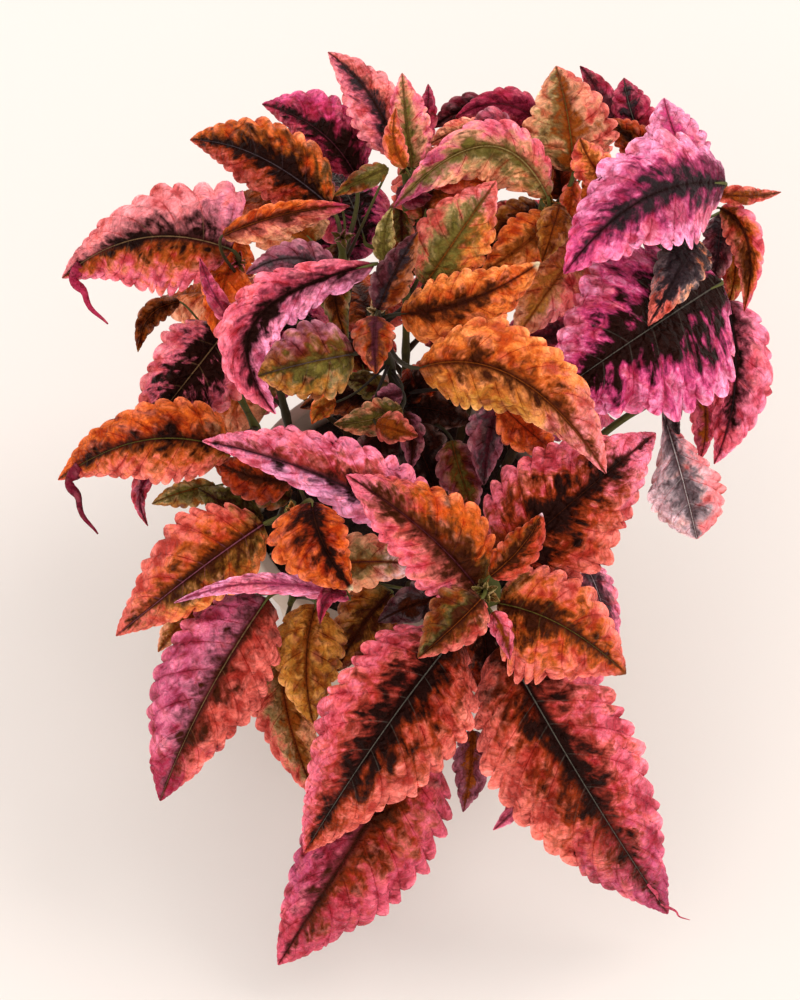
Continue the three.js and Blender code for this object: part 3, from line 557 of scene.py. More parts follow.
class StemSettings(PropertyGroup):
    """Sizes and colours of stems and stalks."""

    foot_radius: length_property("Stem radius", "Radius of a stem at the soil", 2.4 * MM)
    tip_radius: length_property("Tip radius", "Radius of a stem at its growing tip", 1.1 * MM)
    stalk_radius: length_property("Stalk radius", "Radius of a leaf stalk at the stem", 1.05 * MM)
    stalk_tip_radius: length_property("Stalk end radius", "Radius of a leaf stalk in the blade", 0.55 * MM)
    green: colour_property("Green", "Young stalks", "66682E")
    brown: colour_property("Brown", "Old stems", "3E2C16")
    dark: colour_property("Dark", "Dark purple stems", "1E1212")


class PotSettings(PropertyGroup):
    """Sizes and colours of the pot and its soil."""

    wall: length_property("Wall", "Thickness of the pot's wall", 3.6 * MM)
    rim_height: length_property("Rim height", "Height of the pot's rim", 14 * MM)
    crumbs: IntProperty(name="Crumbs", description="Crumbs for each square metre of soil", default=90000)
    seed: IntProperty(name="Seed", description="Seed of the crumbs' places", default=7)
    clay: colour_property("Pot", "The pot", "C9B8A6")
    soil: colour_property("Soil", "Damp soil", "2A1B12")
    perlite: colour_property("Perlite", "White grains in the soil", "D8D0C4")


class StageSettings(PropertyGroup):
    """Floor, light and camera."""

    floor: colour_property("Floor", "The floor", "F4EDE8")
    key: power_property("Key light", "Power of the main light", 25)
    fill: power_property("Fill light", "Power of the light in front", 4.5)
    sky: FloatProperty(name="Sky", description="Strength of the light from all round", default=0.99)
    lens: FloatProperty(name="Lens", description="Focal length in mm", default=140, min=1)


class ColeusSettings(PropertyGroup):
    """Everything that can be set on the plant."""

    blade: PointerProperty(type=BladeSettings)
    tints: PointerProperty(type=TintSettings)
    stem: PointerProperty(type=StemSettings)
    pot: PointerProperty(type=PotSettings)
    stage: PointerProperty(type=StageSettings)


def settings():
    return bpy.context.scene.coleus


# Node trees


class Value:
    """A node's output. Arithmetic on it adds Math nodes."""

    def __init__(self, graph, socket):
        self.graph = graph
        self.socket = socket

    def __add__(self, other):
        return self.graph.math("ADD", self, other)

    def __sub__(self, other):
        return self.graph.math("SUBTRACT", self, other)

    def __rsub__(self, other):
        return self.graph.math("SUBTRACT", other, self)

    def __mul__(self, other):
        return self.graph.math("MULTIPLY", self, other)

    def __truediv__(self, other):
        return self.graph.math("DIVIDE", self, other)

    def __rtruediv__(self, other):
        return self.graph.math("DIVIDE", other, self)

    def __abs__(self):
        return self.graph.math("ABSOLUTE", self)

    __radd__ = __add__
    __rmul__ = __mul__

    def swing(self, size):
        """A value from 0 to 1 as one from half of size below 0 to half of it above."""
        return (self - 0.5) * size


class Graph:
    """A node tree that is being built."""

    def __init__(self, tree):
        self.tree = tree

    def feed(self, socket, value):
        if isinstance(value, Value):
            self.tree.links.new(value.socket, socket)
        elif value is not None:
            socket.default_value = value

    def node(self, kind, set_to=None, inputs=None, output=0):
        """Adds a node, sets it, feeds its inputs by name or number, and gives one of its outputs."""
        made = self.tree.nodes.new(kind)
        for name, value in (set_to or {}).items():
            setattr(made, name, value)
        for key, value in (inputs or {}).items():
            self.feed(made.inputs[key], value)
        return Value(self, made.outputs[output])

    def math(self, operation, *values):
        return self.node("ShaderNodeMath", {"operation": operation}, dict(enumerate(values)))

    def ramp(self, value, low, high):
        """Rises smoothly from 0 where value is low to 1 where it is high."""
        return self.node(
            "ShaderNodeMapRange",
            {"interpolation_type": "SMOOTHSTEP"},
            {"Value": value, "From Min": low, "From Max": high},
        )

    def mix(self, factor, a, b, blend="MIX"):
        """A colour between a and b."""
        return self.node(
            "ShaderNodeMix",
            {"data_type": "RGBA", "blend_type": blend, "clamp_factor": True},
            {0: factor, 6: opaque(a), 7: opaque(b)},
            output=2,
        )

    def shade(self, colour, value):
        """A colour or a vector times a number."""
        return self.node(
            "ShaderNodeVectorMath", {"operation": "SCALE"}, {"Vector": colour, "Scale": value}
        )

    def vector(self, x, y, z):
        return self.node("ShaderNodeCombineXYZ", None, {0: x, 1: y, 2: z})

    def parts(self, vector):
        """The three parts of a vector."""
        made = self.node("ShaderNodeSeparateXYZ", None, {0: vector})
        return [Value(self, socket) for socket in made.socket.node.outputs]

    def attribute(self, name, output="Vector"):
        return self.node("ShaderNodeAttribute", {"attribute_name": name}, output=output)

    def noise(self, vector, scale, detail, roughness, distortion=0.0):
        wanted = {"Vector": vector, "Scale": scale, "Detail": detail}
        return self.node(
            "ShaderNodeTexNoise", None, wanted | {"Roughness": roughness, "Distortion": distortion}
        )

    def cells(self, vector, scale):
        """Distance to the nearest edge between cells."""
        return self.node(
            "ShaderNodeTexVoronoi", {"feature": "DISTANCE_TO_EDGE"}, {"Vector": vector, "Scale": scale}
        )

    def object_place(self):
        return self.node("ShaderNodeTexCoord", output="Object")

    def bump(self, height, distance, strength=1.0):
        return self.node(
            "ShaderNodeBump", None, {"Height": height, "Distance": distance, "Strength": strength}, "Normal"
        )


def opaque(colour):
    return colour if isinstance(colour, Value) else (*tuple(colour)[:3], 1.0)


def toned(colour, share):
    """A colour made darker or lighter, in numbers alone."""
    return [min(1.0, c * share) for c in colour]


def surface(name, build):
    """A material whose Principled shader is fed by what build(graph) gives."""
    material = bpy.data.materials.new(name)
    material.use_nodes = True
    graph = Graph(material.node_tree)
    shader = material.node_tree.nodes["Principled BSDF"]
    for key, value in build(graph).items():
        graph.feed(shader.inputs[key], value)
    return material


def blade_patterns(graph):
    """Where a point lies on its blade, and the patterns there."""
    at = SimpleNamespace()
    at.along, at.aside, at.lobe = graph.parts(graph.attribute("place"))
    at.core, at.seed, at.under = graph.parts(graph.attribute("nature"))
    at.rib, at.pitch, _ = graph.parts(graph.attribute("measure"))
    at.height = graph.attribute("relief", "Fac")
    at.reach = abs(at.aside)
    here = graph.object_place()
    for name, numbers in SPOTS.items():
        setattr(at, name, graph.noise(here, *numbers))
    for name, (lengthwise, across, numbers) in BARS.items():
        spot = graph.vector(at.lobe * lengthwise, at.aside * across, at.seed)
        setattr(at, name, graph.noise(spot, *numbers))
    wobble = graph.node(
        "ShaderNodeTexNoise", None, {"Vector": here, "Scale": NET_WOBBLE_SCALE, "Detail": 2.0}, "Color"
    )
    bent = graph.node(
        "ShaderNodeVectorMath", {"operation": "MULTIPLY_ADD"}, {0: wobble, 1: (NET_WOBBLE,) * 3, 2: here}
    )
    at.net = graph.cells(bent, NET_SCALE)
    at.lines = graph.ramp(at.net + at.grains.swing(0.16), 0.08, 0.0)
    at.fine_lines = graph.ramp(graph.cells(bent, FINE_NET_SCALE) + at.grains.swing(0.1), 0.1, 0.0)
    return at


def feathering(graph, at):
    """How far the zones run into each other along the veins, most of all where the core is wide."""
    barred = graph.ramp(at.core, *BARRED_CORES)
    feather = at.streaks.swing(0.75 + barred) + at.mottles.swing(0.9 - barred * 0.6)
    feather = feather + at.dashes.swing(barred) * 0.5 + at.blots.swing(0.4) - at.height * 0.3
    return feather * graph.ramp(at.reach, 0.0, 0.15) + at.patches.swing(0.5)


def leaf_zones(graph, at):
    """The colours from margin to core, run into each other by the feathering, and where it is light."""
    edge, middle, dark, base, tip = (
        graph.attribute(f"{zone}_tint", "Color") for zone in ("edge", "middle", "core", "base", "tip")
    )
    tip_share = graph.attribute("tip_tint", "Alpha")
    feather = feathering(graph, at)
    deep = graph.mix(0.35, graph.shade(middle, 0.36), dark)
    border = at.reach + feather - at.core * (CORE_WIDTH - at.along * at.along * CORE_TAPER)
    onward = at.along + feather * 0.4
    light = graph.ramp(border, *LIGHT_ZONE)
    colour = graph.mix(graph.ramp(border + at.blots.swing(0.7), *MIDDLE_ZONE), edge, middle)
    colour = graph.mix(graph.ramp(onward, *TIP_ZONE) * tip_share, colour, tip)
    colour = graph.mix(graph.ramp(onward + at.reach * 0.2, *BASE_ZONE), colour, base)
    colour = graph.mix(graph.ramp(border + at.core * 0.45, *DEEP_ZONE) * 0.92, colour, deep)
    colour = graph.mix(graph.ramp(border + at.core * 0.3, *CORE_ZONE), colour, dark)
    return colour, light


def in_hollows(graph, at, colour, stain_and_shade):
    """Darkens stains and the net of veins, and paints shade into the valleys between folds and the grooves at
    the margin.
    """
    stain = graph.ramp(at.mottles * 0.7 + at.patches * 0.5, 0.62, 0.76)
    # Painted shade in the valleys of the relief.
    valley_shade = graph.ramp(at.height + at.blots.swing(0.9), -0.02, -0.8)
    turn = graph.math("FRACT", at.lobe)
    # Painted shade in the grooves between lobes near the margin.
    groove_shade = graph.ramp(abs(turn - 0.5) * 2.0 + at.dashes.swing(0.5), 0.84, 1.0)
    groove_shade = groove_shade * graph.ramp(at.reach, 0.8, 1.05)
    for share in (stain * STAIN, valley_shade * VALLEY_SHADE, groove_shade * GROOVE_SHADE, at.lines * NET + at.fine_lines * FINE_NET):
        colour = graph.mix(share, colour, stain_and_shade, "MULTIPLY")
    return colour


def on_ridges(graph, at, colour, light):
    """Paints highlights on what stands up: ridges and pillows between the veins, glints on specks, and light
    along the rim.
    """
    # Painted highlights on the ridges of the relief and on the pillows between the veins.
    ridge = graph.ramp(at.height + at.blots.swing(0.9), 0.05, 0.8)
    pillow_highlight = graph.ramp(at.net + at.blots.swing(0.3), 0.05, 0.4)
    golden = graph.ramp(at.patches + at.mottles.swing(0.8), 0.5, 0.66) * light
    colour = graph.mix(golden * GOLD, colour, GOLDEN, "MULTIPLY")
    raised = (ridge * 0.6 + pillow_highlight * 0.4) * light
    colour = graph.mix(raised * RAISED_HIGHLIGHT, colour, graph.mix(0.14, graph.shade(colour, 1.5), HIGHLIGHT_TINT))
    # Painted glints on small specks.
    glints = graph.ramp(at.grains, 0.66, 0.76) * light
    colour = graph.mix(glints * GLINTS, colour, graph.shade(colour, 1.9))
    # Painted light along the rim and on the lobes near it.
    rim = graph.ramp(at.reach + at.blots.swing(0.5), 0.72, 1.05) + graph.ramp(at.reach, 0.95, 0.99)
    lit_rim = graph.mix(0.12, graph.shade(colour, 1.5), PALE_RIM)
    colour = graph.mix(rim * light * RIM_LIGHT, colour, lit_rim)
    # Brightness that differs at random, raised on ridges as a painted highlight.
    tone_and_ridge_highlight = BRIGHTNESS + ridge * 0.24 + at.grains.swing(0.5) + at.patches.swing(0.9) + at.blots.swing(0.9)
    return graph.shade(colour, tone_and_ridge_highlight)


def with_veins(graph, at, colour, light, stain_and_shade):
    """Draws the side veins and the midrib, and gives where the midrib is."""
    rib_tint = graph.attribute("rib_tint", "Color")
    from_vein = abs(graph.math("FRACT", at.lobe * 0.5 + 0.5) - 0.5) * 2.0 * at.pitch
    vein = graph.ramp(from_vein + at.grains.swing(0.5), 0.32, 0.08) * graph.ramp(at.reach, 0.95, 0.4)
    beside = graph.ramp(at.reach / at.rib + at.grains.swing(2.0), 5.0, 1.4)
    midrib = graph.ramp(at.reach / at.rib + at.grains.swing(0.8), 1.1, 0.5)
    colour = graph.mix(vein * light * SIDE_VEIN, colour, stain_and_shade, "MULTIPLY")
    colour = graph.mix(vein * (1.0 - light) * SIDE_VEIN_ON_DARK, colour, rib_tint)
    colour = graph.mix(beside * BESIDE_MIDRIB, colour, stain_and_shade, "MULTIPLY")
    return graph.mix(midrib * MIDRIB, colour, rib_tint), midrib


def leaf_surface(graph):
    """A coleus blade: coloured zones that feather along the veins, with puckers, veins and midrib, and
    painted shade and highlights on its relief.
    """
    at = blade_patterns(graph)
    colour, light = leaf_zones(graph, at)
    edge_tint = graph.attribute("edge_tint", "Color")
    # A red-brown tint for the darker marks: stains and veins, and painted shade in the hollows.
    stain_and_shade = graph.mix(0.55, STAIN_AND_SHADE_RED, graph.shade(edge_tint, 0.6))
    colour = in_hollows(graph, at, colour, stain_and_shade)
    colour = on_ridges(graph, at, colour, light)
    colour, midrib = with_veins(graph, at, colour, light, stain_and_shade)
    dry = graph.ramp(at.along, *DRY_ZONE) * graph.attribute("dry_tint", "Alpha")
    colour = graph.mix(dry, colour, graph.attribute("dry_tint", "Color"))
    back = graph.mix(0.55, edge_tint, UNDERSIDE)
    colour = graph.mix(at.under * (0.1 + light * 0.3), colour, back)
    bumps = graph.ramp(at.net, 0.0, 0.4) * 1.3 + at.grains * 0.5 + at.blots * 0.8 + midrib * 0.3
    return {
        "Base Color": colour,
        "Roughness": 0.5 + at.grains.swing(0.3) + at.lines * 0.1,
        "Specular IOR Level": 0.09,
        "Specular Tint": SHEEN,
        "Normal": graph.bump(bumps, 1.2 * MM),
    }


def stem_surface(graph):
    """Green to brown stems with darker streaks along them."""
    stem = settings().stem
    along, tone, _ = graph.parts(graph.attribute("place"))
    here = graph.object_place()
    patches = graph.noise(here, 90.0, 3.0, 0.6)
    streaks = graph.noise(graph.vector(along * 3.0, patches * 2.0, tone), 6.0, 3.0, 0.6)
    grains = graph.noise(here, 900.0, 2.0, 0.6)
    colour = graph.mix(graph.ramp(along + patches.swing(0.4), 0.2, 0.8), stem.brown, stem.green)
    colour = graph.mix(tone * 0.9, colour, stem.dark)
    colour = graph.mix(graph.ramp(streaks, 0.56, 0.7) * 0.4, colour, stem.dark)
    return {
        "Base Color": graph.shade(colour, 0.75 + grains * 0.5),
        "Roughness": 0.5 + grains.swing(0.3),
        "Specular IOR Level": 0.2,
        "Normal": graph.bump(grains * 0.4 + patches, 0.4 * MM, 0.5),
    }


def pot_surface(graph):
    """Matte moulded pot with a faint grain, darker towards its foot."""
    pot = settings().pot
    here = graph.object_place()
    height = graph.parts(here)[2]
    grains = graph.noise(here, 1400.0, 2.0, 0.6)
    stains = graph.noise(here, 28.0, 4.0, 0.6)
    # Darker towards the foot, in the soil's colour.
    darker_foot = graph.ramp(height + stains.swing(0.03), 0.035, 0.0)
    colour = graph.mix(graph.ramp(stains, 0.45, 0.75) * 0.35, pot.clay, toned(pot.clay, 0.62))
    colour = graph.mix(darker_foot * 0.45, colour, pot.soil)
    return {
        "Base Color": graph.shade(colour, 0.93 + grains * 0.14),
        "Roughness": 0.55 + stains.swing(0.25),
        "Normal": graph.bump(grains, 0.12 * MM, 0.5),
    }


def soil_surface(graph):
    """Damp dark soil with coarse and fine lumps."""
    pot = settings().pot
    here = graph.object_place()
    coarse = graph.noise(here, 260.0, 5.0, 0.7)
    fibres = graph.noise(here, 900.0, 3.0, 0.6, 1.5)
    colour = graph.mix(graph.ramp(fibres, 0.52, 0.68), pot.soil, toned(pot.soil, 2.6))
    return {
        "Base Color": graph.shade(colour, coarse * 1.4 + 0.2),
        "Roughness": 0.95 - graph.ramp(coarse, 0.6, 0.75) * 0.2,
        "Normal": graph.bump(coarse + fibres * 0.4, 1.6 * MM),
    }


def perlite_surface(graph):
    """White mineral grains, darker in patches."""
    pot = settings().pot
    holes = graph.noise(graph.object_place(), 1500.0, 3.0, 0.7)
    return {
        "Base Color": graph.mix(graph.ramp(holes, 0.5, 0.65) * 0.7, pot.perlite, toned(pot.perlite, 0.45)),
        "Roughness": 0.9 - holes * 0.1,
        "Normal": graph.bump(holes, 0.4 * MM),
    }


def floor_surface(graph):
    """A plain pale floor, barely uneven."""
    clouds = graph.noise(graph.object_place(), 3.0, 2.0, 0.5)
    return {
        "Base Color": graph.shade(settings().stage.floor, 0.985 + clouds * 0.03),
        "Roughness": 0.9 + clouds.swing(0.1),
        "Specular IOR Level": 0.1,
    }


# Shapes


class Shape:
    """Points, faces and point values gathered for one mesh."""

    def __init__(self):
        self.points = []
        self.corners = []
        self.sizes = []
        self.flats = []
        self.values = []
        self.count = 0

    def add(self, points, groups, values):
        """groups are pairs of face corners and their places on the flat map, alike in shape."""
        self.points.append(np.asarray(points, float))
        for faces, flat in groups:
            self.corners.append((faces + self.count).ravel())
            self.sizes.append(np.full(len(faces), faces.shape[1]))
            self.flats.append(flat.reshape(-1, 2))
        self.values.append(values)
        self.count += len(points)

    def mesh(self, name, kinds):
        """The gathered faces as a mesh in metres. kinds gives each value's attribute type."""
        mesh = bpy.data.meshes.new(name)
        points = np.concatenate(self.points) * MM
        corners, sizes = np.concatenate(self.corners), np.concatenate(self.sizes)
        mesh.vertices.add(len(points))
        mesh.vertices.foreach_set("co", points.ravel())
        mesh.loops.add(len(corners))
        mesh.loops.foreach_set("vertex_index", corners)
        mesh.polygons.add(len(sizes))
        mesh.polygons.foreach_set("loop_start", np.cumsum(sizes) - sizes)
        flat = mesh.uv_layers.new(name="OFBake")
        flat.uv.foreach_set("vector", np.concatenate(self.flats).ravel())
        for key, (kind, field) in kinds.items():
            attribute = mesh.attributes.new(key, kind, "POINT")
            attribute.data.foreach_set(field, np.concatenate([v[key] for v in self.values]).ravel())
        mesh.update(calc_edges=True)
        mesh.shade_smooth()
        return mesh


ZONES = ("edge", "middle", "core", "base", "rib")
LEAF_KINDS = {
    "place": ("FLOAT_VECTOR", "vector"),
    "nature": ("FLOAT_VECTOR", "vector"),
    "measure": ("FLOAT_VECTOR", "vector"),
    "relief": ("FLOAT", "value"),
    **{f"{zone}_tint": ("FLOAT_COLOR", "color") for zone in (*ZONES, "tip", "dry")},
}


def smoothstep(low, high, value):
    t = np.clip((value - low) / (high - low), 0, 1)
    return t * t * (3 - 2 * t)


def unit(vectors):
    return vectors / np.maximum(np.linalg.norm(vectors, axis=-1, keepdims=True), 1e-9)


def halves(v, pair):
    """The first of a pair on the left half of a blade, where v is below 0, and the second on the right."""
    return np.where(v < 0, *pair)


class Sheet:
    """A sheet turned about Z and leaning back, which faces an eye at a distance in front of it."""

    def __init__(self, turn, lean):
        a, e = math.radians(turn), math.radians(lean)
        self.across = np.array((math.cos(a), math.sin(a), 0))
        self.up = np.array((-math.sin(a) * math.sin(e), math.cos(a) * math.sin(e), math.cos(e)))
        self.off = np.array((math.sin(a) * math.cos(e), -math.cos(a) * math.cos(e), math.sin(e)))
        self.middle = np.array((0, 0, POT_HEIGHT))

    def place(self, spots):
        """Points in mm for rows of x and y in squares and height in mm."""
        spots = np.asarray(spots, float)
        near = SQUARE * (1 - (spots[..., 2] - CROWN_LEVEL) / EYE_DISTANCE)
        across = (spots[..., 0] - SHEET_MID[0]) * near
        up = (SHEET_MID[1] - spots[..., 1]) * near
        flat = across[..., None] * self.across + up[..., None] * self.up
        return self.middle + flat + spots[..., 2:3] * self.off

    def find(self, point):
        """The inverse of place for one point."""
        p = np.asarray(point, float) - self.middle
        h = p @ self.off
        near = SQUARE * (1 - (h - CROWN_LEVEL) / EYE_DISTANCE)
        return (SHEET_MID[0] + p @ self.across / near, SHEET_MID[1] - p @ self.up / near, h)


FRONT = Sheet(0, SHEET_TILT)


def on_dome(spot):
    """A spot whose height is counted from the crown's dome, as a spot above the sheet."""
    x, y, lift = spot
    across = (x - SHEET_MID[0]) * SQUARE / CROWN_HALF[0]
    up = (SHEET_MID[1] - y) * SQUARE / CROWN_HALF[1]
    return (x, y, CROWN_TOP - CROWN_FALL * (across**2 + up**2) + lift)


class Leaf:
    """One leaf: where its midrib lies on a sheet, how wide it is, and its tints."""

    def __init__(self, number, stem, sheet, midrib, sides, tints, more=None):
        self.number = number
        self.stem = stem
        self.sheet = sheet
        self.midrib = np.array(midrib, float)
        self.sides = sides
        self.tints = tints.split()
        self.more = more or {}
        self.fall = self.more.get("fall", (FALL, FALL))
        self.belly = self.more.get("belly", (BELLY, BELLY))
        self.crumple = self.more.get("crumple", 1.0)
        self.tail = self.more.get("tail")
        self.length = np.linalg.norm(np.diff(self.midrib[:, :2], axis=0), axis=1).sum()
        self.teeth = int(np.clip(round(TEETH_RATE * (self.length / 10) ** TEETH_POWER), *TEETH_COUNTS))
        self.phase = (midrib[0][0] + 2 * midrib[2][1]) * WAVE_SHIFT

    def raise_by(self, h):
        self.midrib[:, 2] += h
        if self.tail is not None:
            self.tail = (self.tail[0], self.tail[1], self.tail[2] + h)

    def rib(self, u):
        """The midrib on the sheet, a parabola through its three points."""
        shares = np.stack([2 * (u - 0.5) * (u - 1), -4 * u * (u - 1), 2 * u * (u - 0.5)], -1)
        return shares @ self.midrib

    def heading(self, u):
        shares = np.stack([4 * u - 3, 4 - 8 * u, 4 * u - 1], -1)
        return unit(shares @ self.midrib[:, :2])

    def half_width(self, u, v):
        """How far a half blade reaches from the midrib, in squares."""
        return halves(v, self.sides) * np.sin(math.pi * u ** halves(v, self.belly)) ** ROUNDNESS

    def spread(self, u, v, cut=0.0, relief=0.0):
        """The blade's middle on the sheet, with its margin cut in and extra relief in squares."""
        u, v = np.broadcast_arrays(np.asarray(u, float), np.asarray(v, float))
        reach = np.abs(v)
        half = self.half_width(np.clip(u, 0, 1), v)
        wave = WAVE * reach**2 * np.sin(TURN * WAVES * u + self.phase + (v >= 0))
        rise = BULGE * np.sin(math.pi * reach) - halves(v, self.fall) * reach**2 + wave
        ahead = self.heading(u)
        spot = self.rib(u)
        out = half * v * (1 - cut)
        return np.stack(
            [
                spot[..., 0] - ahead[..., 1] * out,
                spot[..., 1] + ahead[..., 0] * out,
                spot[..., 2] + (rise * half + relief) * SQUARE,
            ],
            -1,
        )

    def surface(self, u, v):
        return self.sheet.place(self.spread(u, v))

    def hills(self, what, x, y):
        """Smooth random hills for one of the uneven things on the blade."""
        return lumps(x, y, self.number + UNEVEN[what])


def stack(leaves):
    """Raises each leaf in turn until it clears the leaves already laid under it."""
    along, aside = STACK_STEPS
    u, v = np.meshgrid(np.arange(along + 1) / along, np.arange(-aside, aside + 1) / aside, indexing="ij")
    top = {}
    for leaf in leaves:
        spots = leaf.spread(u, v).reshape(-1, 3)
        cells = [tuple(c) for c in np.floor(spots[:, :2] / STACK_CELL + 0.5).astype(int)]
        need = max([0.0] + [top[c] + STACK_GAP - h for c, h in zip(cells, spots[:, 2]) if c in top])
        leaf.raise_by(need)
        for c, h in zip(cells, spots[:, 2] + need):
            top[c] = max(h, top.get(c, -math.inf))


def far_leaf(number, azimuth, raised, tier, tints, core):
    """A leaf of the far side, on a sheet of its own that faces the way it points."""
    base, tip, width = tier[3:]
    angle = math.radians(azimuth)
    sheet = Sheet(azimuth + 90, FAR_TILT)
    middle = ((base[0] + tip[0]) / 2 + FAR_RISE, (base[1] + tip[1]) / 2)
    midrib = []
    for height, radius in (base, middle, tip):
        point = (radius * math.cos(angle), radius * math.sin(angle), height + raised)
        midrib.append(sheet.find(point))
    stem = next(name for limit, name in FAR_STEMS if azimuth < limit)
    return Leaf(number, stem, sheet, midrib, (width, width), tints, {"core": core})


def far_leaves():
    made = []
    for tier in FAR_TIERS:
        count, first, turn = tier[:3]
        for i in range(count):
            tints, core = FAR_TINTS[len(made) % len(FAR_TINTS)]
            number = FIRST_FAR_LEAF + len(made)
            made.append(far_leaf(number, first + i * turn, i % 2 * FAR_STAGGER, tier, tints, core))
    return made


def bud_leaves():
    """Young leaves in a spiral round each growing tip, the inner ones more upright."""
    made = []
    for name, (count, length, tints) in BUDS.items():
        x, y, h = on_dome(STEMS[name][1])
        for i in range(count):
            angle = i * GOLDEN_TURN + len(name)
            reach = length * (0.55 + 0.45 * i / count)
            dx, dy = reach * math.cos(angle), reach * math.sin(angle)
            rise = 7 - 4 * i / count
            midrib = [(x, y, h), (x + dx * 0.5, y + dy * 0.5, h + rise), (x + dx, y + dy, h + rise + 1)]
            made.append(Leaf(FIRST_BUD_LEAF + len(made), name, FRONT, midrib, (reach * BUD_HALF,) * 2, tints))
    return made


def laid_leaves(rows, first):
    """Leaves on the front sheet from rows of a table, numbered on from the first."""
    made = []
    for stem, base, middle, tip, sides, tints, *keys in rows:
        more = dict(*keys)
        if "tail" in more:
            more["tail"] = on_dome(more["tail"])
        midrib = [on_dome(spot) for spot in (base, middle, tip)]
        made.append(Leaf(first + len(made), stem, FRONT, midrib, sides, tints, more))
    return made


def all_leaves():
    near = laid_leaves(LEAVES, 0)
    stack(near)
    return near + laid_leaves(UNDER_LEAVES, FIRST_UNDER_LEAF) + far_leaves() + bud_leaves()


def columns_of(leaf):
    """Lobe numbers along a blade, from 0 at the base to the count of lobes at the tip."""
    lobes = [k + step for k in range(leaf.teeth) for step in LOBE_STEPS]
    return np.array([*lobes, leaf.teeth], float)


def rows_of(leaf):
    """Places across a blade from the left margin to the right, closer at margin and midrib."""
    count = int(np.clip(5 + max(leaf.sides) / 7.5, FEWEST_ROWS, MOST_ROWS))
    side = np.sin(math.pi / 2 * np.arange(1, count + 1) / count) ** 1.15
    return np.concatenate([-side[::-1], [0], side])


def crinkle(points, seed):
    """Small waves in all directions, about 1 high."""
    draw = np.random.default_rng(seed)
    total = np.zeros(points.shape[:-1])
    for _ in range(CRINKLES):
        wave = unit(draw.normal(size=3)) * TURN / draw.uniform(*CRINKLE_LENGTHS)
        total += np.sin(points @ wave + draw.uniform(0, TURN))
    return total / 4


def lumps(x, y, seed):
    """Smooth random hills one unit apart, from -1 to 1."""
    heights = np.random.default_rng(seed).uniform(-1, 1, (HILLS, HILLS))
    i, j = np.floor(x).astype(int), np.floor(y).astype(int)
    a, b = smoothstep(0, 1, x - i), smoothstep(0, 1, y - j)
    i0, i1, j0, j1 = i % HILLS, (i + 1) % HILLS, j % HILLS, (j + 1) % HILLS
    near = heights[i0, j0] * (1 - b) + heights[i0, j1] * b
    far = heights[i1, j0] * (1 - b) + heights[i1, j1] * b
    return near * (1 - a) + far * a


def lobe_places(leaf, v):
    """Where each column lies on the midrib: lobes are longest at mid blade and uneven."""
    lobe = columns_of(leaf)
    t = lobe / leaf.teeth
    drift = LOBE_DRIFT * leaf.hills("lobe", lobe, 0 * lobe + 0.5) * np.sin(math.pi * t)
    t = t + drift / leaf.teeth - LOBE_CROWDING * np.sin(TURN * t)
    s = TEETH_FROM + (TEETH_TO - TEETH_FROM) * t
    before, after = np.array(BASE_COLUMNS), np.array(TIP_COLUMNS)
    s = np.concatenate([before[:, 1], s, after[:, 1]])
    lobe = np.concatenate([before[:, 0], lobe, leaf.teeth + after[:, 0]])
    return np.broadcast_arrays(s[:, None], lobe[:, None], v[None, :])


def blade_relief(leaf, u, v, lobe, scallop):
    """Height of folds, blisters and ruffles above the smooth blade in squares, and as -1 to 1."""
    blade = settings().blade
    reach = np.abs(v)
    side = halves(v, HALVES)
    width = leaf.length / leaf.teeth
    fine = np.abs(np.sin(math.pi * lobe)) ** 0.7
    wide = np.abs(np.sin(math.pi * lobe / 2)) ** 0.7
    outer = smoothstep(0.74, 0.98, reach)
    uneven = 1 + 0.5 * leaf.hills("fold", lobe, side + reach * 2)
    fold = (0.7 * wide * (1 - outer) + fine * outer - 0.5) * smoothstep(0.04, 0.35, reach) * uneven
    x, y, _ = np.moveaxis(leaf.spread(u, v) / width, -1, 0)
    blister = leaf.hills("blister", x * 1.15, y * 1.15)
    blister += 0.6 * leaf.hills("pucker", x * 2.3 + y * 0.4, y * 2.3 - x * 0.4)
    blister *= smoothstep(0.03, 0.3, reach)
    small = blade.quilting * fold + blade.blisters * leaf.crumple * blister
    large = margin_waves(leaf, v, lobe, scallop) - MIDRIB_SINK * np.exp(-((reach / 0.09) ** 2))
    ends = np.sin(math.pi * np.clip(u, 0, 1)) ** 0.5
    return (small * width + large * max(leaf.sides)) * ends, np.clip(fold * 0.9 + blister, -1, 1) * ends


def margin_waves(leaf, v, lobe, scallop):
    """Height of ruffles, curls and bent lobes, of the half width."""
    blade = settings().blade
    reach = np.abs(v)
    side = halves(v, HALVES)
    wave = np.sin(0.72 * math.pi * lobe + leaf.phase + side) + 0.6 * np.sin(0.31 * math.pi * lobe + side)
    wave = wave * (1 + 0.5 * leaf.hills("wave", lobe / 2, side))
    flick = leaf.hills("flick", np.floor(lobe) + 0.5, side) * scallop
    ruffle = blade.ruffle * halves(v, leaf.more.get("ruffle", (1.0, 1.0)))
    curl = halves(v, leaf.more.get("curl", (0.0, 0.0)))
    return (ruffle * wave + curl) * reach**3 + blade.flick * flick * reach**4


def margin_cut(leaf, v, lobe, scallop):
    """How deep notches and the margin's swings cut in, of the half width."""
    reach = np.abs(v)
    side = halves(v, RIM_HALVES)
    toothed = (lobe >= 0) & (lobe <= leaf.teeth)
    depth = settings().blade.tooth_depth * (1.5 - min(max(leaf.sides), 60) / 120)
    depth = depth * (1 + 0.55 * leaf.hills("tooth", lobe + 0.5, side))
    ruffle = halves(v, leaf.more.get("ruffle", (1.3, 1.3)))
    uneven = 0.6 * leaf.hills("margin", lobe * 0.45, side + 2) + leaf.hills("edge", lobe * 0.9, side + 2)
    return depth * (1 - scallop) * reach**5 * toothed + 0.05 * ruffle * uneven * reach**2


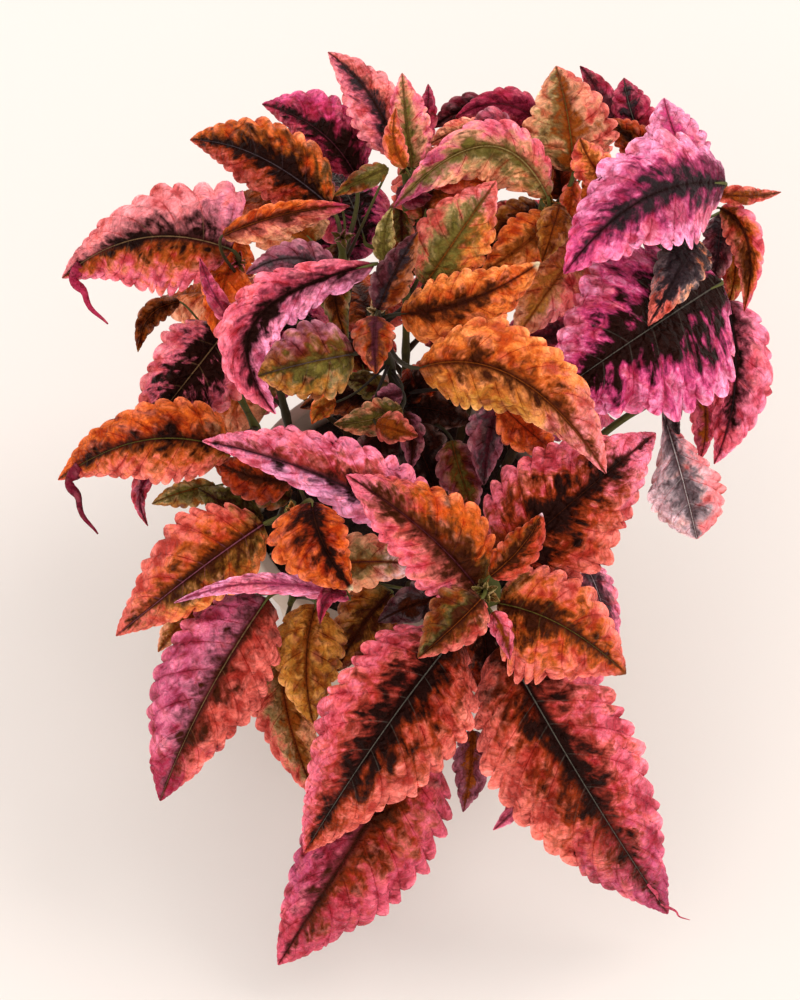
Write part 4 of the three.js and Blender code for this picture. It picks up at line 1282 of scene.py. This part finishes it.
def blade_grid(leaf):
    """The points of a blade's middle in mm, with u, v, lobe numbers and relief."""
    s, lobe, v = lobe_places(leaf, rows_of(leaf))
    reach = np.abs(v)
    u = s + VEIN_SLANT * 4 * s * (1 - s) * reach**VEIN_BEND
    uneven = leaf.hills("vein", lobe * 0.8, halves(v, RIM_HALVES))
    u = u + 0.25 / leaf.teeth * reach * uneven * np.sin(math.pi * s)
    share = np.mod(lobe, 1) ** TOOTH_LEAN
    scallop = np.sqrt(np.clip(1 - (2 * share - 1) ** 2, 0, 1))
    relief, level = blade_relief(leaf, u, v, lobe, scallop)
    points = leaf.sheet.place(leaf.spread(u, v, margin_cut(leaf, v, lobe, scallop), relief))
    rough = crinkle(points, leaf.number) * settings().blade.crinkle / MM * leaf.crumple
    ends = np.sin(math.pi * np.clip(u, 0, 1)) ** 0.5
    points = points + (rough * smoothstep(0, 0.3, reach) * ends)[..., None] * leaf.sheet.off
    return points, s, u, v, lobe, level


def faces_between(index):
    """Quads over a grid of point numbers."""
    return np.stack([index[:-1, :-1], index[:-1, 1:], index[1:, 1:], index[1:, :-1]], -1).reshape(-1, 4)


def flat_cell(number, count):
    """Corner and size of a leaf's cell on the flat map, in a square of cells."""
    side = math.ceil(math.sqrt(count))
    return np.array((number % side, number // side)) / side, 1 / side


def skin_faces(index, ends, flat, turned):
    """Faces of one side of a blade. ends gives the point, the line beside it and its flat place."""
    quads = faces_between(index)
    quads = quads[:, [0, 3, 2, 1]] if turned else quads
    groups = [(quads, flat[quads])]
    for pole, line, spot in ends:
        fan = np.stack([np.full(len(line) - 1, pole), line[1:], line[:-1]], -1)
        fan = fan[:, ::-1] if turned else fan
        places = flat[fan]
        places[fan == pole] = spot
        groups.append((fan, places))
    return groups


def rim_faces(upper, lower, poles, flat, shift):
    """Faces along both margins of a blade, and those that close them at the base and the tip."""
    groups = []
    for j, outward in ((0, -1), (-1, 1)):
        a, b = upper[:-1, j], upper[1:, j]
        quads = np.stack([a, b, lower[1:, j], lower[:-1, j]], -1)
        places = np.stack([flat[a], flat[b], flat[b] + outward * shift, flat[a] + outward * shift], 1)
        if outward > 0:
            quads, places = quads[:, ::-1], places[:, ::-1]
        groups.append((quads, places))
        for pole, i, first in zip(poles, (0, -1), (outward < 0, outward > 0)):
            top, low = upper[i, j], lower[i, j]
            face = np.array([[pole, top, low] if first else [pole, low, top]])
            at = flat[top]
            groups.append((face, np.array([[at, at + outward * shift, at + outward * shift * 2]])))
    return groups


def blade_faces(columns, rows, s, v, cell):
    """Faces of a thin closed blade and their places on the flat map."""
    corner, size = cell
    upper = np.arange(columns * rows).reshape(columns, rows)
    lower = upper + columns * rows
    poles = 2 * columns * rows, 2 * columns * rows + 1
    wide = 0.44 * (v + 1) / 2
    maps = [corner + size * np.stack([left + wide, 0.03 + 0.94 * s], -1) for left in (0.04, 0.52)]
    flat = np.concatenate([*(each.reshape(-1, 2) for each in maps), np.zeros((2, 2))])
    groups = []
    for index, centre, turned in ((upper, 0.26, False), (lower, 0.74, True)):
        spots = [corner + size * np.array((centre, at)) for at in (0.015, 0.985)]
        groups += skin_faces(index, zip(poles, (index[0], index[-1][::-1]), spots), flat, turned)
    return groups + rim_faces(upper, lower, poles, flat, np.array((0.012, 0)) * size)


def tinted(name):
    return np.array((*getattr(settings().tints, name), 1.0))


def leaf_values(leaf, u, v, lobe, level, under):
    """The values of a leaf's points that its surface is coloured by."""
    count = len(u)
    right = smoothstep(-0.08, 0.08, v)[:, None]
    values = {}
    for zone, word in zip(ZONES, leaf.tints):
        left_word, _, right_word = word.partition("/")
        values[f"{zone}_tint"] = tinted(left_word) * (1 - right) + tinted(right_word or left_word) * right
    for zone in ("tip", "dry"):
        name = leaf.more.get(zone)
        values[f"{zone}_tint"] = np.tile(tinted(name) if name else np.zeros(4), (count, 1))
    half = np.maximum(leaf.half_width(np.clip(u, 0.02, 0.98), v) * SQUARE, 0.6)
    rib = settings().blade.midrib / MM * (1.15 - 0.7 * u) * min(1.0, 0.35 + max(leaf.sides) / 70)
    core = np.full(count, leaf.more.get("core", CORE_SHARE))
    pitch = np.full(count, leaf.length / leaf.teeth * SQUARE)
    values["relief"] = level
    values["place"] = np.stack([np.clip(u, 0, 1), v, lobe], -1)
    values["nature"] = np.stack([core, np.full(count, leaf.number * 3.7), under], -1)
    values["measure"] = np.stack([np.clip(rib / half, 0.004, 0.6), pitch, np.zeros(count)], -1)
    return values


def add_blade(shape, leaf, cell):
    """Adds a thin closed blade with a ridge under its midrib."""
    thickness = settings().blade.thickness / MM
    points, s, u, v, lobe, level = blade_grid(leaf)
    columns, rows = u.shape
    normals = -unit(np.cross(np.gradient(points, axis=0), np.gradient(points, axis=1)))
    reach = np.abs(v)
    thin = thickness * (1 - 0.45 * reach**3)
    ridge = 1.1 * thickness * np.exp(-((reach / 0.07) ** 2)) * (1 - u)
    upper = points + normals * (thin / 2)[..., None]
    lower = points - normals * (thin / 2 + ridge)[..., None]
    poles = leaf.surface(np.array((0.0, 1.0)), np.zeros(2))

    def both(top, bottom, ends):
        return np.concatenate([top.ravel(), bottom.ravel(), ends])

    values = leaf_values(
        leaf,
        both(u, u, (0, 1)),
        both(v, v, (0, 0)),
        both(lobe, lobe, (0, leaf.teeth)),
        both(level, -level, (0, 0)),
        both(np.zeros(u.shape), np.ones(u.shape), (0, 0)),
    )
    everything = np.concatenate([upper.reshape(-1, 3), lower.reshape(-1, 3), poles])
    shape.add(everything, blade_faces(columns, rows, s, v, cell), values)


def tail_line(leaf, t):
    """Points along the long curled tip of a blade, and its length from the blade's end."""
    start, through = leaf.surface(np.array((TAIL_START, 1.0)), np.zeros(2))
    end = leaf.sheet.place(leaf.tail)
    swell = np.sin(math.pi * t)
    line = (1 - t) ** 2 * start + 2 * t * (1 - t) * through + t**2 * end
    sag = swell * (end - through) * 0.12
    sway = np.sin(t * 13) * swell * 1.3
    return line + sag[:, ::-1] * 0.2 + sway * leaf.sheet.across, np.linalg.norm(end - through)


def tail_rings(leaf, t, angle):
    """Rings of points round the curled tip, crumpled and tapering to a point."""
    line, length = tail_line(leaf, t)
    along = unit(np.gradient(line, axis=0))
    aside = unit(np.cross(along, leaf.sheet.off))
    above = np.cross(aside, along)
    draw = np.random.default_rng(leaf.number)
    swell = 1 + 0.28 * np.sin(t * 21 + draw.uniform(0, TURN)) * (1 - t)
    radius = (1.9 * (1 - t) ** 0.7 + 0.28) * swell * min(1.0, length / 20) ** 1.5
    turned = angle + t * 5.0
    crumple = 1 + 0.3 * np.sin(3 * angle + 9 * t)
    ring = (np.cos(turned) * crumple)[..., None] * aside[:, None]
    ring = ring + (0.5 * np.sin(turned) * crumple)[..., None] * above[:, None]
    return line[:, None] + ring * radius[..., None]


def add_tail(shape, leaf, cell):
    """Adds the long curled tip of a blade, a crumpled roll that tapers to a point."""
    corner, size = cell
    t = np.linspace(0, 1, TAIL_STEPS)[:, None]
    angle = np.linspace(0, TURN, TAIL_SIDES, endpoint=False)[None, :]
    points = tail_rings(leaf, t, angle)
    index = np.arange(TAIL_STEPS * TAIL_SIDES).reshape(TAIL_STEPS, TAIL_SIDES)
    quads = faces_between(np.concatenate([index, index[:, :1]], 1))[:, ::-1]
    spans = np.linspace(0.05, 0.95, TAIL_STEPS), np.linspace(0.05, 0.9, TAIL_SIDES)
    place = np.stack(np.meshgrid(*spans, indexing="ij"), -1)
    flat = corner + size * place.reshape(-1, 2)
    ends = [np.array([index[0]]), np.array([index[-1][::-1]])]
    groups = [(faces, flat[faces]) for faces in (quads, *ends)]
    tint = leaf.more.get("tail_tint", "umber")
    tints = f"{tint} {tint} bark {tint} wine"
    rolled = Leaf(leaf.number, leaf.stem, leaf.sheet, leaf.midrib, leaf.sides, tints)
    half, edge, level = (np.full(index.size, number) for number in (0.5, 0.7, 0.0))
    lobe = (t * 6 + angle * 0.4).ravel()
    shape.add(points.reshape(-1, 3), groups, leaf_values(rolled, half, edge, lobe, level, level))


# Pieces


def place_piece(name, mesh, materials, nodes):
    """Makes an object at the origin that rides on the plant and stands for CAD nodes."""
    mesh.name = name
    piece = bpy.data.objects.new(name, mesh)
    bpy.context.scene.collection.objects.link(piece)
    for material in materials:
        mesh.materials.append(material)
    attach(piece, "root")
    if nodes:
        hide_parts(*nodes)


def shaped_by(name, source, tree, inputs):
    """A plain mesh: what a node tree makes of a source object. The source is removed."""
    holder = bpy.data.objects.new(name + "_source", source)
    bpy.context.scene.collection.objects.link(holder)
    modifier = holder.modifiers.new("Shape", "NODES")
    modifier.node_group = tree
    for item in tree.interface.items_tree:
        if item.item_type == "SOCKET" and item.in_out == "INPUT" and item.name in inputs:
            modifier[item.identifier] = inputs[item.name]
    bpy.context.view_layer.update()
    evaluated = holder.evaluated_get(bpy.context.evaluated_depsgraph_get())
    mesh = bpy.data.meshes.new_from_object(evaluated)
    holder.modifiers.clear()
    bpy.data.objects.remove(holder)
    return mesh


def new_tree(name, sockets):
    """A Geometry Nodes tree with a geometry in and out, and named inputs."""
    tree = bpy.data.node_groups.new(name, "GeometryNodeTree")
    tree.interface.new_socket("Geometry", in_out="INPUT", socket_type="NodeSocketGeometry")
    tree.interface.new_socket("Geometry", in_out="OUTPUT", socket_type="NodeSocketGeometry")
    for key, (kind, default) in sockets.items():
        socket = tree.interface.new_socket(key, in_out="INPUT", socket_type=kind)
        if default is not None:
            socket.default_value = default
    graph = Graph(tree)
    start = tree.nodes.new("NodeGroupInput")
    end = tree.nodes.new("NodeGroupOutput")
    ins = {socket.name: Value(graph, socket) for socket in start.outputs if socket.name}
    return graph, ins, end


def finished(graph, end, geometry, material):
    """Ends a tree: real faces in one material."""
    real = graph.node("GeometryNodeRealizeInstances", None, {"Geometry": geometry})
    done = graph.node("GeometryNodeSetMaterial", None, {"Geometry": real, "Material": material})
    graph.feed(end.inputs[0], done)
    return graph.tree


def stalk_tree():
    """Sweeps a rounded square along each curve, as thick as the curve's radius."""
    graph, ins, end = new_tree(
        "Swept stalks", {"Corner": ("NodeSocketFloat", 0.6), "Material": ("NodeSocketMaterial", None)}
    )
    square = graph.node("GeometryNodeCurvePrimitiveQuadrilateral", None, {"Width": 1.8, "Height": 1.8})
    section = graph.node(
        "GeometryNodeFilletCurve",
        {"mode": "POLY"},
        {"Curve": square, "Count": 2, "Radius": ins["Corner"], "Limit Radius": True},
    )
    along = graph.node("GeometryNodeSplineParameter", output="Factor")
    line = graph.node(
        "GeometryNodeStoreNamedAttribute",
        {"data_type": "FLOAT", "domain": "POINT"},
        {"Geometry": ins["Geometry"], "Name": "along", "Value": along},
    )
    thick = graph.node("GeometryNodeInputRadius")
    swept = graph.node(
        "GeometryNodeCurveToMesh",
        None,
        {"Curve": line, "Profile Curve": section, "Scale": thick, "Fill Caps": True},
    )
    smooth = graph.node("GeometryNodeSetShadeSmooth", None, {"Geometry": swept})
    return finished(graph, end, smooth, ins["Material"])


def lumpy_grain(graph, radius):
    """A small ball pushed out of round."""
    ball = graph.node("GeometryNodeMeshIcoSphere", None, {"Radius": radius, "Subdivisions": 2})
    place = graph.node("GeometryNodeInputPosition")
    lump = graph.node("ShaderNodeTexNoise", None, {"Vector": place, "Scale": 420.0, "Detail": 1.0}, "Color")
    push = graph.node("ShaderNodeVectorMath", {"operation": "SUBTRACT"}, {0: lump, 1: (0.5, 0.5, 0.5)})
    push = graph.shade(push, 1.5 * MM)
    return graph.node("GeometryNodeSetPosition", None, {"Geometry": ball, "Offset": push})


def crumb_tree():
    """Scatters lumpy grains over the upward faces of a surface."""
    graph, ins, end = new_tree(
        "Scattered crumbs",
        {
            "Density": ("NodeSocketFloat", 90000.0),
            "Seed": ("NodeSocketInt", 7),
            "Smallest": ("NodeSocketFloat", 0.3),
            "Largest": ("NodeSocketFloat", 1.0),
            "Grain": ("NodeSocketFloat", GRAIN_RADIUS * MM),
            "Material": ("NodeSocketMaterial", None),
        },
    )
    normal = graph.parts(graph.node("GeometryNodeInputNormal"))
    upward = graph.node("FunctionNodeCompare", {"operation": "GREATER_THAN"}, {0: normal[2], 1: 0.5})
    points = graph.node(
        "GeometryNodeDistributePointsOnFaces",
        None,
        {"Mesh": ins["Geometry"], "Selection": upward, "Density": ins["Density"], "Seed": ins["Seed"]},
    )
    grain = lumpy_grain(graph, ins["Grain"])
    size = graph.node(
        "FunctionNodeRandomValue", None, {2: ins["Smallest"], 3: ins["Largest"], "Seed": ins["Seed"]}, 1
    )
    turn = graph.node(
        "FunctionNodeRandomValue",
        {"data_type": "FLOAT_VECTOR"},
        {0: (0, 0, 0), 1: (TURN, TURN, TURN), "Seed": ins["Seed"]},
    )
    placed = graph.node(
        "GeometryNodeInstanceOnPoints",
        None,
        {"Points": points, "Instance": grain, "Rotation": turn, "Scale": size},
    )
    return finished(graph, end, placed, ins["Material"])


def smooth_line(points, steps):
    """Points along a centripetal curve through the given ones."""
    p = [np.asarray(q, float) for q in points]
    p = [2 * p[0] - p[1], *p, 2 * p[-1] - p[-2]]
    made = []
    for a, b, c, d in zip(p, p[1:], p[2:], p[3:]):
        t0 = 0.0
        t1 = t0 + max(np.linalg.norm(b - a) ** 0.5, 1e-3)
        t2 = t1 + max(np.linalg.norm(c - b) ** 0.5, 1e-3)
        t3 = t2 + max(np.linalg.norm(d - c) ** 0.5, 1e-3)
        t = np.linspace(t1, t2, steps, endpoint=False)[:, None]
        ab = (t1 - t) / (t1 - t0) * a + (t - t0) / (t1 - t0) * b
        bc = (t2 - t) / (t2 - t1) * b + (t - t1) / (t2 - t1) * c
        cd = (t3 - t) / (t3 - t2) * c + (t - t2) / (t3 - t2) * d
        abc = (t2 - t) / (t2 - t0) * ab + (t - t0) / (t2 - t0) * bc
        bcd = (t3 - t) / (t3 - t1) * bc + (t - t1) / (t3 - t1) * cd
        made.append((t2 - t) / (t2 - t1) * abc + (t - t1) / (t2 - t1) * bcd)
    return np.concatenate([*made, p[-2][None]])


def stem_line(name):
    """A stem: straight up out of the soil, then over to its growing tip."""
    foot, tip = STEMS[name]
    end = FRONT.place(on_dome(tip))
    out = np.array((*foot, SOIL_TOP + SOIL_DOME + STEM_RISE))
    bend = (out + end) / 2
    bend[2] += STEM_BOW * np.linalg.norm(end - out)
    return smooth_line([(*foot, SOIL_TOP - FOOT_DEPTH), (*foot, SOIL_TOP), out, bend, end], STEM_STEPS)


def stalk_line(leaf, stem):
    """A leaf's stalk: it leaves the stem below the blade and runs into the midrib."""
    sunk = settings().stem.stalk_tip_radius / MM * leaf.sheet.off
    base, inside = leaf.surface(np.array((0.0, STALK_REACH)), np.zeros(2)) - sunk
    lowest = int(STALK_LOWEST * len(stem))
    gaps = np.linalg.norm(stem[lowest:] - base, axis=1)
    best = lowest + int(gaps.argmin())
    pace = np.linalg.norm(np.diff(stem, axis=0), axis=1).mean()
    start = stem[max(lowest, best - round(STALK_DROP * gaps.min() / pace))]
    ahead = unit(inside - base)
    hold = base - STALK_HOLD * max(0.0, (base - start) @ ahead) * ahead
    elbow = start + STALK_SOFTNESS * (hold - start)
    elbow = elbow + (1 - STALK_SOFTNESS) * (base - elbow)
    return smooth_line([start, elbow, base, inside], STALK_STEPS)


def add_spline(curve, points, radii):
    spline = curve.splines.new("POLY")
    spline.points.add(len(points) - 1)
    for point, place, radius in zip(spline.points, points * MM, radii):
        point.co = (*place, 1)
        point.radius = radius


def stem_curves(name, leaves):
    """Curves of a stem, swollen where stalks leave it, and of its leaves' stalks."""
    stem = settings().stem
    curve = bpy.data.curves.new(name, "CURVE")
    curve.dimensions = "3D"
    line = stem_line(name)
    t = np.linspace(0, 1, len(line))
    radius = stem.foot_radius + (stem.tip_radius - stem.foot_radius) * t
    stalks = [stalk_line(leaf, line) for leaf in leaves]
    for stalk in stalks:
        away = np.linalg.norm(line - stalk[0], axis=1)
        radius = np.maximum(radius, radius * (1 + KNOT_SWELL * np.exp(-((away / KNOT_REACH) ** 2))))
    add_spline(curve, line, radius)
    for leaf, stalk in zip(leaves, stalks):
        size = min(1.0, 0.3 + max(leaf.sides) / 60)
        t = np.linspace(0, 1, len(stalk))
        thick = stem.stalk_radius + (stem.stalk_tip_radius - stem.stalk_radius) * t
        add_spline(curve, stalk, thick * size * (1 + STALK_SWELL * np.exp(-((t / 0.1) ** 2))))
    return curve


class COLEUS_OT_leaves(Operator):
    """Builds the leaves of each leafy stem as one piece."""

    bl_idname = "coleus.leaves"
    bl_label = "Leaves"

    def execute(self, context):
        material = surface("coleus_leaf", leaf_surface)
        leaves = all_leaves()
        for name in STEMS:
            own = [leaf for leaf in leaves if leaf.stem == name]
            tails = [leaf for leaf in own if leaf.tail is not None]
            shape = Shape()
            adders = [(add_blade, leaf) for leaf in own] + [(add_tail, leaf) for leaf in tails]
            for i, (add, leaf) in enumerate(adders):
                add(shape, leaf, flat_cell(i, len(adders)))
            mesh = shape.mesh(f"{name}_leaves", LEAF_KINDS)
            place_piece(f"{name}_leaves", mesh, [material], [f"{name}_stem"])
        return {"FINISHED"}


class COLEUS_OT_stalks(Operator):
    """Sweeps the stems and the leaf stalks, one piece for each leafy stem."""

    bl_idname = "coleus.stalks"
    bl_label = "Stems and stalks"

    def execute(self, context):
        material = surface("coleus_stem", stem_surface)
        tree = stalk_tree()
        leaves = all_leaves()
        for name in STEMS:
            curve = stem_curves(name, [leaf for leaf in leaves if leaf.stem == name])
            mesh = shaped_by(f"{name}_stalks", curve, tree, {"Material": material})
            along = np.zeros(len(mesh.vertices))
            mesh.attributes["along"].data.foreach_get("value", along)
            dark = STEM_TONES.get(name, STEM_TONE)
            place = mesh.attributes.new("place", "FLOAT_VECTOR", "POINT")
            rows = np.stack([along, np.full(len(along), dark), np.zeros(len(along))], -1)
            place.data.foreach_set("vector", rows.ravel())
            place_piece(f"{name}_stalks", mesh, [material], [f"{name}_stem"])
        return {"FINISHED"}


def lathe(name, profile, sides):
    """A closed mesh from a profile of radii and heights in mm that starts and ends on the axis."""
    ring = np.array(profile[1:-1], float)
    angle = np.linspace(0, TURN, sides, endpoint=False)
    points = np.stack(
        [
            ring[:, :1] * np.cos(angle),
            ring[:, :1] * np.sin(angle),
            np.repeat(ring[:, 1:], sides, 1),
        ],
        -1,
    )
    index = np.arange(len(ring) * sides).reshape(len(ring), sides)
    looped = np.concatenate([index, index[:, :1]], 1)
    faces = [list(map(int, f)) for f in faces_between(looped)]
    first, last = len(ring) * sides, len(ring) * sides + 1
    for k in range(sides):
        a, b = int(looped[0, k]), int(looped[0, k + 1])
        c, d = int(looped[-1, k]), int(looped[-1, k + 1])
        faces += [[first, b, a], [last, c, d]]
    ends = [(0, 0, profile[0][1]), (0, 0, profile[-1][1])]
    mesh = bpy.data.meshes.new(name)
    mesh.from_pydata(np.concatenate([points.reshape(-1, 3), ends]) * MM, [], faces)
    mesh.shade_smooth()
    return mesh


def arc(centre, radius, start, end, steps):
    """Points of an arc, by angles in degrees."""
    angles = np.radians(np.linspace(start, end, steps))
    return [(centre[0] + radius * math.cos(a), centre[1] + radius * math.sin(a)) for a in angles]


def pot_profile(rim, top):
    """Radii and heights in mm round the wall of the pot, from its foot to its floor inside."""
    pot = settings().pot
    wall = pot.wall / MM
    rim_low = top - pot.rim_height / MM
    under_rim = rim - RIM_OVERHANG
    profile = [(0, POT_DISH), (POT_FOOT - 7, POT_DISH), (POT_FOOT - 6, 0)]
    profile += arc((POT_FOOT - 2, 2), 2, -90, -10, 5)
    profile += [(under_rim - 0.6, rim_low - 1.5), *arc((under_rim + 0.4, rim_low), 0.9, 180, 120, 3)]
    profile += arc((rim - 2, rim_low + 2), 2, -80, 0, 6)
    profile += arc((rim - 1.4, top - 1.4), 1.4, 0, 90, 6)
    profile += arc((rim - wall - 0.4, top - 1.4), 1.4, 90, 170, 5)
    profile += [(rim - wall - 3.0, rim_low - 4), *arc((POT_INSIDE - 3, 8), 3, 0, -90, 5), (0, POT_FLOOR)]
    return profile


class COLEUS_OT_pot(Operator):
    """Turns the pot with its rolled rim."""

    bl_idname = "coleus.pot"
    bl_label = "Pot"

    def execute(self, context):
        _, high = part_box("pot")
        mesh = lathe("pot_clay", pot_profile(high.x / MM, high.z / MM), POT_SIDES)
        place_piece("flower_pot", mesh, [surface("pot_clay", pot_surface)], ["pot"])
        return {"FINISHED"}


def soil_mesh():
    """A bed of soil that fills the pot, uneven on top."""
    low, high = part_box("soil")
    edge = high.x / MM
    foot = low.z / MM
    draw = np.random.default_rng(5)
    waves = [(draw.normal(size=2) * 0.35, draw.uniform(0, TURN), draw.uniform(0.15, 0.5)) for _ in range(14)]
    profile = [(0.0, SOIL_TOP + SOIL_DOME)]
    for i in range(1, SOIL_RINGS + 1):
        share = i / SOIL_RINGS
        profile.append((edge * i / SOIL_RINGS, SOIL_TOP + SOIL_DOME * (1 - share**2)))
    profile += [(edge * 0.86, 40), (edge * 0.74, foot), (0.0, foot)]
    mesh = lathe("soil_bed", profile[::-1], SOIL_SIDES)
    for vertex in mesh.vertices:
        x, y, z = vertex.co / MM
        if z > SOIL_TOP - 1:
            height = sum(size * math.sin(x * w[0] * 2 + y * w[1] * 2 + shift) for w, shift, size in waves)
            rim = smoothstep(edge, edge - 4, math.hypot(x, y))
            vertex.co.z += float(height * 0.7 * rim - 0.6 * rim) * MM
    return mesh


class COLEUS_OT_soil(Operator):
    """Fills the pot with soil and scatters crumbs and perlite on it."""

    bl_idname = "coleus.soil"
    bl_label = "Soil"

    def execute(self, context):
        pot = settings().pot
        bed = surface("soil_damp", soil_surface)
        white = surface("soil_perlite", perlite_surface)
        mesh = soil_mesh()
        tree = crumb_tree()
        scattered = []
        for name, material, density, seed, smallest, largest in (
            ("soil_crumbs", bed, float(pot.crumbs), pot.seed, 0.3, 1.1),
            ("soil_perlite", white, pot.crumbs / 9, pot.seed + 1, 0.35, 1.0),
        ):
            inputs = {"Density": density, "Seed": seed, "Smallest": smallest, "Largest": largest}
            inputs |= {"Grain": GRAIN_RADIUS * MM, "Material": material}
            scattered.append((name, shaped_by(name, mesh.copy(), tree, inputs), material))
        place_piece("soil_bed", mesh, [bed], ["soil"])
        for name, grains, material in scattered:
            place_piece(name, grains, [material], [])
        return {"FINISHED"}


def area_light(name, place, target, size, power, colour):
    light = bpy.data.lights.new(name, "AREA")
    light.shape = "DISK"
    light.size = size
    light.energy = power
    light.color = colour
    lamp = bpy.data.objects.new(name, light)
    bpy.context.scene.collection.objects.link(lamp)
    lamp.location = place
    lamp.rotation_euler = (Vector(target) - Vector(place)).to_track_quat("-Z", "Y").to_euler()


def lay_floor(scene):
    mesh = bpy.data.meshes.new("floor")
    corners = [(x * FLOOR_REACH, y * FLOOR_REACH, 0) for x, y in ((-1, -1), (1, -1), (1, 1), (-1, 1))]
    mesh.from_pydata(corners, [], [(0, 1, 2, 3)])
    mesh.materials.append(surface("floor_pale", floor_surface))
    floor = bpy.data.objects.new("floor", mesh)
    scene.collection.objects.link(floor)


def set_sky(scene, strength):
    world = bpy.data.worlds.new("soft_sky")
    scene.world = world
    world.use_nodes = True
    background = world.node_tree.nodes["Background"]
    background.inputs["Color"].default_value = SKY_TINT
    background.inputs["Strength"].default_value = strength
    scene.view_settings.view_transform = "Standard"


def set_camera(scene, lens):
    """A camera that faces the sheet which the crown is laid out on."""
    eye = EYE_DISTANCE + CROWN_LEVEL
    camera = bpy.data.objects.new("camera", bpy.data.cameras.new("camera"))
    scene.collection.objects.link(camera)
    camera.location = (Vector((0, 0, POT_HEIGHT)) + Vector(FRONT.off) * eye) * MM
    camera.rotation_euler = (-Vector(FRONT.off)).to_track_quat("-Z", "Y").to_euler()
    camera.data.lens = lens
    camera.data.sensor_width = 36
    camera.data.clip_start = 0.05
    scene.camera = camera


class COLEUS_OT_stage(Operator):
    """Lays the floor and sets the lights, the sky and the camera."""

    bl_idname = "coleus.stage"
    bl_label = "Stage"

    def execute(self, context):
        stage = settings().stage
        lay_floor(context.scene)
        area_light("key", (1.6, 0.4, 2.9), (0, 0, 0.1), 1.5, stage.key, (1.0, 0.97, 0.93))
        area_light("front", (-0.5, -1.5, 1.3), (0, 0, 0.12), 1.2, stage.fill, (1.0, 0.98, 0.97))
        set_sky(context.scene, stage.sky)
        set_camera(context.scene, stage.lens)
        return {"FINISHED"}


class COLEUS_PT_panel(Panel):
    """Lists the plant's pieces and settings."""

    bl_label = "Potted Coleus"
    bl_idname = "COLEUS_PT_panel"
    bl_space_type = "VIEW_3D"
    bl_region_type = "UI"
    bl_category = "Coleus"

    def draw(self, context):
        for operator in OPERATORS:
            self.layout.operator(operator.bl_idname)
        for group in ("blade", "stem", "pot", "stage", "tints"):
            box = self.layout.box()
            box.label(text=group.capitalize())
            owner = getattr(context.scene.coleus, group)
            for key in owner.bl_rna.properties.keys():
                if key not in ("rna_type", "name"):
                    box.prop(owner, key)


OPERATORS = (COLEUS_OT_stage, COLEUS_OT_pot, COLEUS_OT_soil, COLEUS_OT_stalks, COLEUS_OT_leaves)
GROUPS = (BladeSettings, TintSettings, StemSettings, PotSettings, StageSettings, ColeusSettings)
CLASSES = (*GROUPS, *OPERATORS, COLEUS_PT_panel)


def register():
    for each in CLASSES:
        bpy.utils.register_class(each)
    bpy.types.Scene.coleus = PointerProperty(type=ColeusSettings)


def unregister():
    del bpy.types.Scene.coleus
    for each in reversed(CLASSES):
        bpy.utils.unregister_class(each)


def main():
    register()
    bpy.ops.coleus.stage()
    bpy.ops.coleus.pot()
    bpy.ops.coleus.soil()
    bpy.ops.coleus.stalks()
    bpy.ops.coleus.leaves()


if __name__ == "__main__":
    main()
